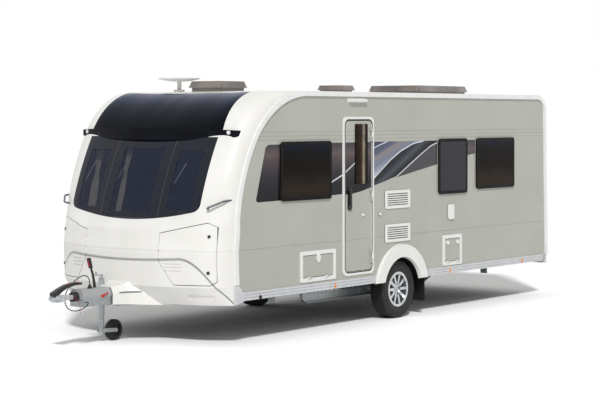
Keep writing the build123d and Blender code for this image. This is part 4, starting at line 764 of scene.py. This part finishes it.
# a net of 15 mm meshes is printed on it, coarser than usual so that it shows
turned = add_node(tree, "Mapping", {
    "Vector": place, "Rotation": (math.radians(38), 0, 0), "Scale": (0, 1, 1)})
net = add_node(tree, "TexChecker", {
    "Vector": turned, "Scale": 1 / 0.015, "Color1": (1, 1, 1, 1), "Color2": (0.72, 0.72, 0.74, 1)})
shade = add_node(tree, "Mix", {0: 1.0, 6: ramp.outputs["Color"], 7: net.outputs["Color"]},
                 data_type="RGBA", blend_type="MULTIPLY")
tree.links.new(shade.outputs[2], shader.inputs["Base Color"])

# Silver cast film: a pale line that catches the light.
film_silver = mottled("vinyl_film_silver", "D4D7DC", 0.28,
                      "DCDFE3", "CACDD3", 0.05, (0.22, 0.34), metallic=0.2)

# Pearl blue film: a grey-blue sheen that runs down to silver.
film_sheen, tree, shader, place, ramp = banded("vinyl_film_pearl_blue", [
    (0.0, "C3C6CE"), (0.1, "A3A9B6"), (0.3, "7A8296"), (0.55, "8E8688"), (0.66, "5B6178"),
    (1.0, "3D4257")], 1.60, 1.96, 0.35)
tree.links.new(ramp.outputs["Color"], shader.inputs["Base Color"])

# Graphite film: near black with one soft grey glow along it.
film_sweep, tree, shader, place, ramp = banded("vinyl_film_graphite", [
    (0.0, "101014"), (0.35, "1C1D22"), (0.6, "4A4E58"), (0.8, "2A2C33"),
    (1.0, "17181C")], 1.30, 1.60, 0.52)
tree.links.new(ramp.outputs["Color"], shader.inputs["Base Color"])

# Carbon-printed film: a grey weave. Tows of 2 mm would vanish, so they are drawn 11 mm wide.
film_carbon, tree, shader, place = start("vinyl_film_carbon_weave", "3A3B40", 0.25, gloss=0.35)
turned = add_node(tree, "Mapping", {
    "Vector": place, "Rotation": (math.radians(45), 0, 0), "Scale": (0, 1, 1)})
weave = add_node(tree, "TexChecker", {
    "Vector": turned, "Scale": 1 / 0.011, "Color1": linear("1E1E21"), "Color2": linear("55565B")})
tree.links.new(weave.outputs["Color"], shader.inputs["Base Color"])
print("film finishes", [film.name for film in (film_net, film_silver, film_sheen, film_sweep, film_carbon)])

# %% [markdown]
# The stripes follow two rising lines. Each film is an outline of y and z
# points. Neighbours share those points, half a millimetre apart, and a
# silver line covers the joint.

# %% Stripes along the side
skin = WALL + 0.0004    # films lie on the paint
upper_line = [(-0.552, 1.568), (-0.436, 1.640), (-0.230, 1.766),
              (-0.020, 1.864), (0.225, 1.940), (0.420, 1.966)]
lower_line = [(-0.111, 1.578), (0.318, 1.790), (0.567, 1.905), (0.710, 1.943)]
sweep_foot = [(-0.552, 1.490), (-0.340, 1.532), (-0.111, 1.584)]


def stripe(line, wide):
    """A band of even width along a line of points."""
    half = wide / 2
    return [(y, z - half) for y, z in line] + [(y, z + half) for y, z in reversed(line)]


films = [
    # name, outline, finish, how proud
    ("film_front_band", [(-2.579, 1.412), (-2.568, 1.394), (-2.545, 1.388), (-1.700, 1.400), (-1.133, 1.420),
                         (-1.133, 1.965), (-2.360, 1.958), (-2.400, 1.950), (-2.430, 1.925)], film_net, 0.0),
    ("film_front_line", stripe([(-1.340, 1.546), (-1.133, 1.620)], 0.016), film_silver, 0.0008),
    ("film_sheen_back", [(-0.552, 1.562)] + upper_line[1:] + [(-0.552, 1.966)], film_sheen, 0.0),
    ("film_line_top", stripe([(-0.552, 1.898), (-0.430, 1.934), (-0.300, 1.963)], 0.012), film_silver, 0.0008),
    ("film_sweep", sweep_foot + lower_line[1:] + [(0.710, 1.966), (0.424, 1.9665)]
     + [(y, z - 0.0005) for y, z in reversed(upper_line[:-1])], film_sweep, 0.0),
    ("film_line_upper", stripe(upper_line, 0.016), film_silver, 0.0008),
    ("film_line_lower", stripe(lower_line, 0.014), film_silver, 0.0008),
    ("film_carbon_wedge", [(-0.130, 1.566), (0.710, 1.695)]
     + [(y, z - 0.0005) for y, z in reversed(lower_line)], film_carbon, 0.0),
    ("film_rear_block", [(1.343, 1.785), (1.523, 1.805), (1.523, 1.965), (1.343, 1.965)], film_net, 0.0),
]
for name, outline, finish_of, proud in films:
    flat_shape(name, [outline], skin + proud, 0.0008, finish_of, "caravan")
print("side films", len(films))

# %% [markdown]
# ## Door furniture
# The door leaf carries its own films, which swing with it, round a tall dark
# window. A rubber seal runs round the leaf.

# %% Door films and seal
door_low, door_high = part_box("entrance_door")
leaf_face = touch("entrance_door", (2.0, door_low[1] + 0.03, 1.75), (-1, 0, 0))[0].x
frame_face = touch("door_frame", (2.0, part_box("door_frame")[0][1] + 0.02, 1.40), (-1, 0, 0))[0].x
print("door leaf face", round(leaf_face, 4), "frame face", round(frame_face, 4))
fore, aft = door_low[1] - AXLE + 0.005, -0.606
door_films = [
    # name, outline, finish, how far out of the leaf
    ("film_door_band", [(fore, 1.412), (-0.930, 1.420), (-0.760, 1.444), (aft, 1.478),
                        (aft, 1.965), (fore, 1.965)], film_net, 0.0004),
    ("film_door_sweep", [(-0.930, 1.4205), (-0.760, 1.4445), (aft, 1.4785), (aft, 1.560),
                         (-0.800, 1.500)], film_sweep, 0.0010),
    ("film_door_line", stripe([(fore, 1.652), (pane_low[1] - AXLE - 0.002, 1.742)], 0.016),
     film_silver, 0.0010),
]
for name, outline, finish_of, proud in door_films:
    flat_shape(name, [outline], leaf_face + proud, 0.0008, finish_of, "entrance_door")

# EPDM seal: a matt black line that parts the leaf from its frame.
seal_black = mottled("epdm_door_seal", "1C1C1E", 0.55, "202022", "151516", 0.02, (0.5, 0.6), 0.1, 0.0004)
inset, seal_wide = 0.026, 0.011    # how far inside the frame's edge the seal lies
fore, aft, low, high = -1.127 + inset, -0.562 - inset, 0.546 + inset, 2.238 - inset
ring = [rounded(fore, aft, low, high, 0.070),
        rounded(fore + seal_wide, aft - seal_wide, low + seal_wide, high - seal_wide, 0.060)]
flat_shape("door_seal", ring, frame_face + 0.0006, 0.0016, seal_black, "caravan", 0.0003)

# Moulded nylon in two colours: the catch is white, though the handle beside it is black.
handle_two, tree, shader, place = start("nylon_moulded_handle", "17181A", 0.4)
axes = add_node(tree, "SeparateXYZ", {0: place})
catch = add_node(tree, "Math", {0: axes.outputs[2], 1: 1.215}, operation="LESS_THAN")
mixed = add_node(tree, "Mix", {0: catch, 6: linear("19191B"), 7: linear("EDEDEA")}, data_type="RGBA")
tree.links.new(mixed.outputs[2], shader.inputs["Base Color"])
dress(handle_two, "door_handle")

# %% [markdown]
# ## Wheels
# Five bolts hold each wheel on a 112 mm circle, and a plain cap closes the
# hub. Each bolt is a hexagon with a dished head.

# %% Wheel bolts and caps
# Zinc-plated steel: a mid-grey spot in each socket of the rim.
bolt_zinc = mottled("steel_bolt_zinc_plated", "8E9196", 0.35,
                    "989BA0", "82858A", 0.006, (0.28, 0.42), metallic=1.0)
# Silver-painted ABS: duller than the alloy round it.
cap_silver = mottled("abs_cap_silver_painted", "B9BCC1", 0.3,
                     "C0C3C8", "AEB1B6", 0.02, (0.24, 0.36), metallic=0.6)
bolt_circle = 0.056    # radius
for side, rim, body in ((1, "rim_near", "nearside_wheel"), (-1, "rim_off", "offside_wheel")):
    label = LABEL[side]
    hub, _ = touch(rim, (side * 2.0, AXLE, WHEEL_Z), (-side, 0, 0))
    knob(f"hub_cap_{label}", hub, (side, 0, 0), 0.030, 0.007, cap_silver, body, dish=-0.001)
    for number in range(5):
        turn = math.radians(90 + 72 * number)
        spot = (side * 2.0, AXLE + bolt_circle * math.cos(turn), WHEEL_Z + bolt_circle * math.sin(turn))
        seat, _ = touch(rim, spot, (-side, 0, 0))
        knob(f"wheel_bolt_{label}_{number}", seat, (side, 0, 0), 0.0105, 0.011,
             bolt_zinc, body, sides=6, dish=-0.004)
    print(label, "hub face at x", round(hub.x, 4))

# %% [markdown]
# ## Locks and latches
# Each front locker has two round dark locks. The side hatch has one turn
# latch in the middle of its top, and the cassette hatch has one at each top
# corner.

# %% Locks, latches and end lamps
# Blackened zinc: a dark dot with a metal gleam.
lock_dark = mottled("zinc_lock_blackened", "3A3C40", 0.35,
                    "45474B", "2C2E31", 0.006, (0.28, 0.42), metallic=0.6)
for side, door in ((1, "locker_door_near"), (-1, "locker_door_off")):
    label = LABEL[side]
    for number, (x, z) in enumerate(((0.984, 1.074), (0.982, 0.722))):
        seat, normal = touch(door, (side * x, -5.0, z), (0, 1, 0))
        knob(f"locker_lock_{label}_{number}", seat, normal, 0.016, 0.008, lock_dark, door, dish=-0.002)
low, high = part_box("side_locker_door")
seat, _ = touch("side_locker_door", (2.0, (low[1] + high[1]) / 2, high[2] - 0.030), (-1, 0, 0))
knob("side_locker_latch", seat, (1, 0, 0), 0.028, 0.016, white_plastic, "side_locker_door",
     sides=24, dish=-0.003, oblong=1.7)
low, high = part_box("cassette_door")
for number, y in enumerate((low[1] + 0.045, high[1] - 0.045)):
    seat, _ = touch("cassette_door", (2.0, y, high[2] - 0.040), (-1, 0, 0))
    knob(f"cassette_latch_{number}", seat, (1, 0, 0), 0.025, 0.018, white_plastic, "cassette_door", dish=-0.003)

# Clear acrylic: a near-white lens under a wet skin.
lamp_clear = mottled("pmma_clear_lens", "E9ECEF", 0.1, "F2F4F6", "D5DADF", 0.006, coat=0.6)
for side in (1, -1):
    seat, normal = touch("front_visor", (side * 0.971, -5.0, 2.083), (0, 1, 0))
    knob(f"end_lamp_{LABEL[side]}", seat, normal, 0.020, 0.008, lamp_clear, "caravan")
print("locks and lamps set")

# %% [markdown]
# ## Marker lamps, cap and red levers
# Three amber markers sit in each skirt rail: an oblong lens with a rounded
# rim. A rubber cap closes the jacking tube. The red parts on the hitch show
# its user where to pull. A bar is a smooth line with a round section.

# %% Marker lamps and small parts of the hitch
for side in (1, -1):
    for number, y in enumerate([AXLE - 1.279, AXLE + 0.949, AXLE + 2.591]):
        lens = knob(f"marker_lens_{LABEL[side]}_{number}", (side * (WALL + 0.0195), y, 0.462),
                    (side, 0, 0), 0.0115, 0.006, amber, "caravan", sides=24, dish=-0.001, oblong=2.7)
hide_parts("side_markers")

# Moulded rubber cap: a dull black plug.
cap_black = mottled("rubber_cap_black", "18181A", 0.6, "1E1E20", "121213", 0.006, (0.5, 0.66))
seat, _ = touch("skirts", (2.0, -2.534 + AXLE, 0.448), (-1, 0, 0))
knob("jack_tube_cap", seat, (1, 0, 0), 0.021, 0.006, cap_black, "caravan", dish=-0.002)

# Red nylon: the one bright colour on the hitch.
safety_red = mottled("nylon_moulded_red", "C8281F", 0.35, "D02E24", "B9221A", 0.01, (0.3, 0.42), 0.1, 0.0003)


def bar(name, points, radius, material, body):
    """A round bar along a smooth line, as a mesh."""
    only(round_line(name, points, radius, 4))
    bpy.ops.object.convert(target="MESH")
    piece = bpy.context.object
    bpy.ops.object.shade_smooth_by_angle(angle=math.radians(40))
    return settle(piece, name, material, body)


boss, _ = touch("drawbar_cover", (1.0, -3.190, 0.490), (-1, 0, 0))
knob("stay_lever_boss", boss, (1, 0, 0), 0.016, 0.012, safety_red, "caravan", dish=-0.002)
bar("stay_lever", [(boss.x + 0.008, boss.y, boss.z), (boss.x + 0.016, boss.y + 0.030, boss.z + 0.012),
                   (boss.x + 0.012, boss.y + 0.062, boss.z + 0.030)], 0.007, safety_red, "caravan")
for number, (y, reach) in enumerate(((-3.420, 0.045), (-3.560, 0.040))):
    top, _ = touch("coupling_handle", (0.0, y, 2.0), (0, 0, -1))
    end, _ = touch("coupling_handle", (0.0, y - reach, 2.0), (0, 0, -1))
    bar(f"handle_insert_{number}", [(top.x, top.y, top.z), (end.x, end.y, end.z)], 0.005, safety_red, "caravan")
grip, _ = touch("handbrake_lever", (-0.024, -5.0, 0.835), (0, 1, 0))
grip_end, _ = touch("handbrake_lever", (-0.024, -5.0, 0.775), (0, 1, 0))
bar("handbrake_release", [(grip.x, grip.y, grip.z), (grip_end.x, grip_end.y, grip_end.z)],
    0.006, safety_red, "caravan")
cheek, _ = touch("coupling_head", (1.0, -3.725, 0.500), (-1, 0, 0))
knob("stabiliser_cap_near", cheek, (1, 0, 0), 0.026, 0.018, bright_zinc, "caravan", dish=-0.004)
cheek, _ = touch("coupling_head", (-1.0, -3.725, 0.500), (1, 0, 0))
knob("stabiliser_cap_off", cheek, (-1, 0, 0), 0.026, 0.018, bright_zinc, "caravan", dish=-0.004)

# %% [markdown]
# ## Window stays
# Each front pane is propped by a pale telescopic stay just inside it. They
# follow the lean of the pane, so the glass is found first and each stay
# hangs 35 mm behind it.

# %% Stays behind the front panes
# Anodised aluminium: a pale slanting line behind each pane.
stay_white = mottled("aluminium_stay_anodised", "DDE0E4", 0.35,
                     "E4E7EA", "CDD1D6", 0.02, (0.3, 0.42), metallic=0.3)
behind_pane = 0.035
for number, (x_top, x_low) in enumerate(((-0.692, -0.776), (-0.214, -0.303), (0.568, 0.483))):
    head, _ = touch("front_window", (x_top, -5.0, 1.775), (0, 1, 0))
    heel, _ = touch("front_window", (x_low, -5.0, 1.577), (0, 1, 0))
    ends = [(point.x, point.y + behind_pane, point.z) for point in (head, heel)]
    bar(f"window_stay_{number}", ends, 0.006, stay_white, "caravan")
print("window stays", 3)

# %% [markdown]
# ## Curtains
# Cream curtains hang behind the front window, drawn back into a bundle by a
# tie. Cloth keeps its width when it is drawn in, so the pleats of each row
# deepen to use up the cut width, but to no more than 16.5 mm each way. The
# drops are shaped row by row, without a cloth simulation.

# %% Curtains
# Woven polyester: a matt cream with a faint upright grain.
curtain_cream, tree, shader, place = start("polyester_woven_cream", "DCD3C2", 0.85)
shader.inputs["Sheen Weight"].default_value = 0.2
mottle(tree, shader, place, "E3DBCB", "CFC5B3", 0.02, (0.8, 0.9), 0.15, 0.0006, (1, 1, 0.2))


def row_length(wide, deep, folds):
    """How much cloth a row of pleats uses."""
    steps = folds * 24
    total = 0.0
    for i in range(steps):
        t0, t1 = i / steps, (i + 1) / steps
        rise = deep * (math.sin(2 * math.pi * folds * t1) - math.sin(2 * math.pi * folds * t0))
        total += math.hypot(wide / steps, rise)
    return total


def row_depth(wide, cloth, folds):
    """How deep the pleats must be to use the cut width."""
    low, high = 0.0, 0.2
    for _ in range(30):
        middle = (low + high) / 2
        low, high = (middle, high) if row_length(wide, middle, folds) < cloth else (low, middle)
    return low


def curtain(name, middle, wide, foot, head, folds=4):
    """A pleated drop from a foot to a head, both y and z, drawn in by a tie three fifths of the way up."""
    cloth = wide * 1.45
    rows, columns = 40, folds * 12
    deepest = 0.0165
    bpy.ops.object.select_all(action="DESELECT")
    bpy.ops.mesh.primitive_grid_add(x_subdivisions=columns, y_subdivisions=rows, size=2)
    drop = bpy.context.object
    for vertex in drop.data.vertices:
        across, up = (vertex.co.x + 1) / 2, (vertex.co.y + 1) / 2
        drawn = 1 - 0.42 * math.exp(-((up - 0.62) / 0.13) ** 2)
        row_wide = wide * drawn
        deep = min(row_depth(row_wide, cloth, folds), deepest)
        y = foot[0] + (head[0] - foot[0]) * up
        z = foot[1] + (head[1] - foot[1]) * up
        vertex.co = (middle + (across - 0.5) * row_wide, y + deep * math.sin(2 * math.pi * folds * across), z)
    bpy.ops.object.shade_smooth()
    settle(drop, name, curtain_cream, "caravan")
    return drop


drops = [
    curtain("curtain_near_outer", 0.770, 0.110, (-2.491, 1.182), (-2.308, 1.983)),
    curtain("curtain_near_inner", 0.300, 0.080, (-2.586, 1.182), (-2.356, 1.983), 3),
    curtain("curtain_off_inner", -0.300, 0.080, (-2.586, 1.182), (-2.356, 1.983), 3),
    curtain("curtain_off_outer", -0.770, 0.110, (-2.491, 1.182), (-2.308, 1.983)),
]
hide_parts("curtains")
print("curtains", [drop.name for drop in drops])

# %% [markdown]
# ## Cushions
# Seat cushions are foam in a sewn cover. The top crowns up where nothing
# holds it down, and the sides draw in between the corners. A subdivided box
# is pushed into that form, without a cloth simulation.

# %% Cushions
# Chenille: a matt taupe with a soft sheen at grazing angles.
seat_cloth, tree, shader, place = start("polyester_chenille_taupe", "8D8274", 0.9)
shader.inputs["Sheen Weight"].default_value = 0.3
mottle(tree, shader, place, "978C7E", "7D7265", 0.006, (0.85, 0.95), 0.3, 0.001)


def cushion(name, low, high, thin):
    """A pad between two corners; thin is the axis along which it is thinnest."""
    size = Vector(high) - Vector(low)
    middle = (Vector(high) + Vector(low)) / 2
    bpy.ops.object.select_all(action="DESELECT")
    bpy.ops.mesh.primitive_cube_add(size=2)
    pad = bpy.context.object
    bpy.ops.object.mode_set(mode="EDIT")
    bpy.ops.mesh.select_all(action="SELECT")
    bpy.ops.mesh.subdivide(number_cuts=11)
    bpy.ops.object.mode_set(mode="OBJECT")
    flat = [axis for axis in range(3) if axis != thin]
    for vertex in pad.data.vertices:
        u, v, w = vertex.co[flat[0]], vertex.co[flat[1]], vertex.co[thin]
        crown = 0.80 + 0.20 * (1 - u ** 4) * (1 - v ** 4)
        waist = 1 - 0.5 * (1 - w * w) * 0.02
        vertex.co[thin] = middle[thin] + size[thin] / 2 * (w * crown if w > 0 or thin == 0 else w)
        for axis, along, other, draw in ((flat[0], u, v, 0.015), (flat[1], v, u, 0.008)):
            vertex.co[axis] = middle[axis] + size[axis] / 2 * along * (1 - draw * (1 - other * other)) * waist
    soft = pad.modifiers.new("soft", "SUBSURF")
    soft.levels = soft.render_levels = 1
    bpy.ops.object.modifier_apply(modifier="soft")
    bpy.ops.object.shade_smooth()
    settle(pad, name, seat_cloth, "caravan")
    return pad


cushion_places = [
    ("cushion_bed", (-1.060, 1.172, 0.821), (0.280, 2.832, 0.981), 2),
    ("cushion_back_near", (0.952, -2.258, 0.981), (1.082, -0.778, 1.311), 0),
    ("cushion_seat_near", (0.490, -2.282, 0.840), (1.082, -0.754, 0.980), 2),
    ("cushion_back_off", (-1.082, -2.258, 0.981), (-0.952, -0.778, 1.311), 0),
    ("cushion_seat_off", (-1.082, -2.282, 0.840), (-0.490, -0.754, 0.980), 2),
]
pads = [cushion(*where) for where in cushion_places]
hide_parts("cushions")
print("cushions", len(pads))
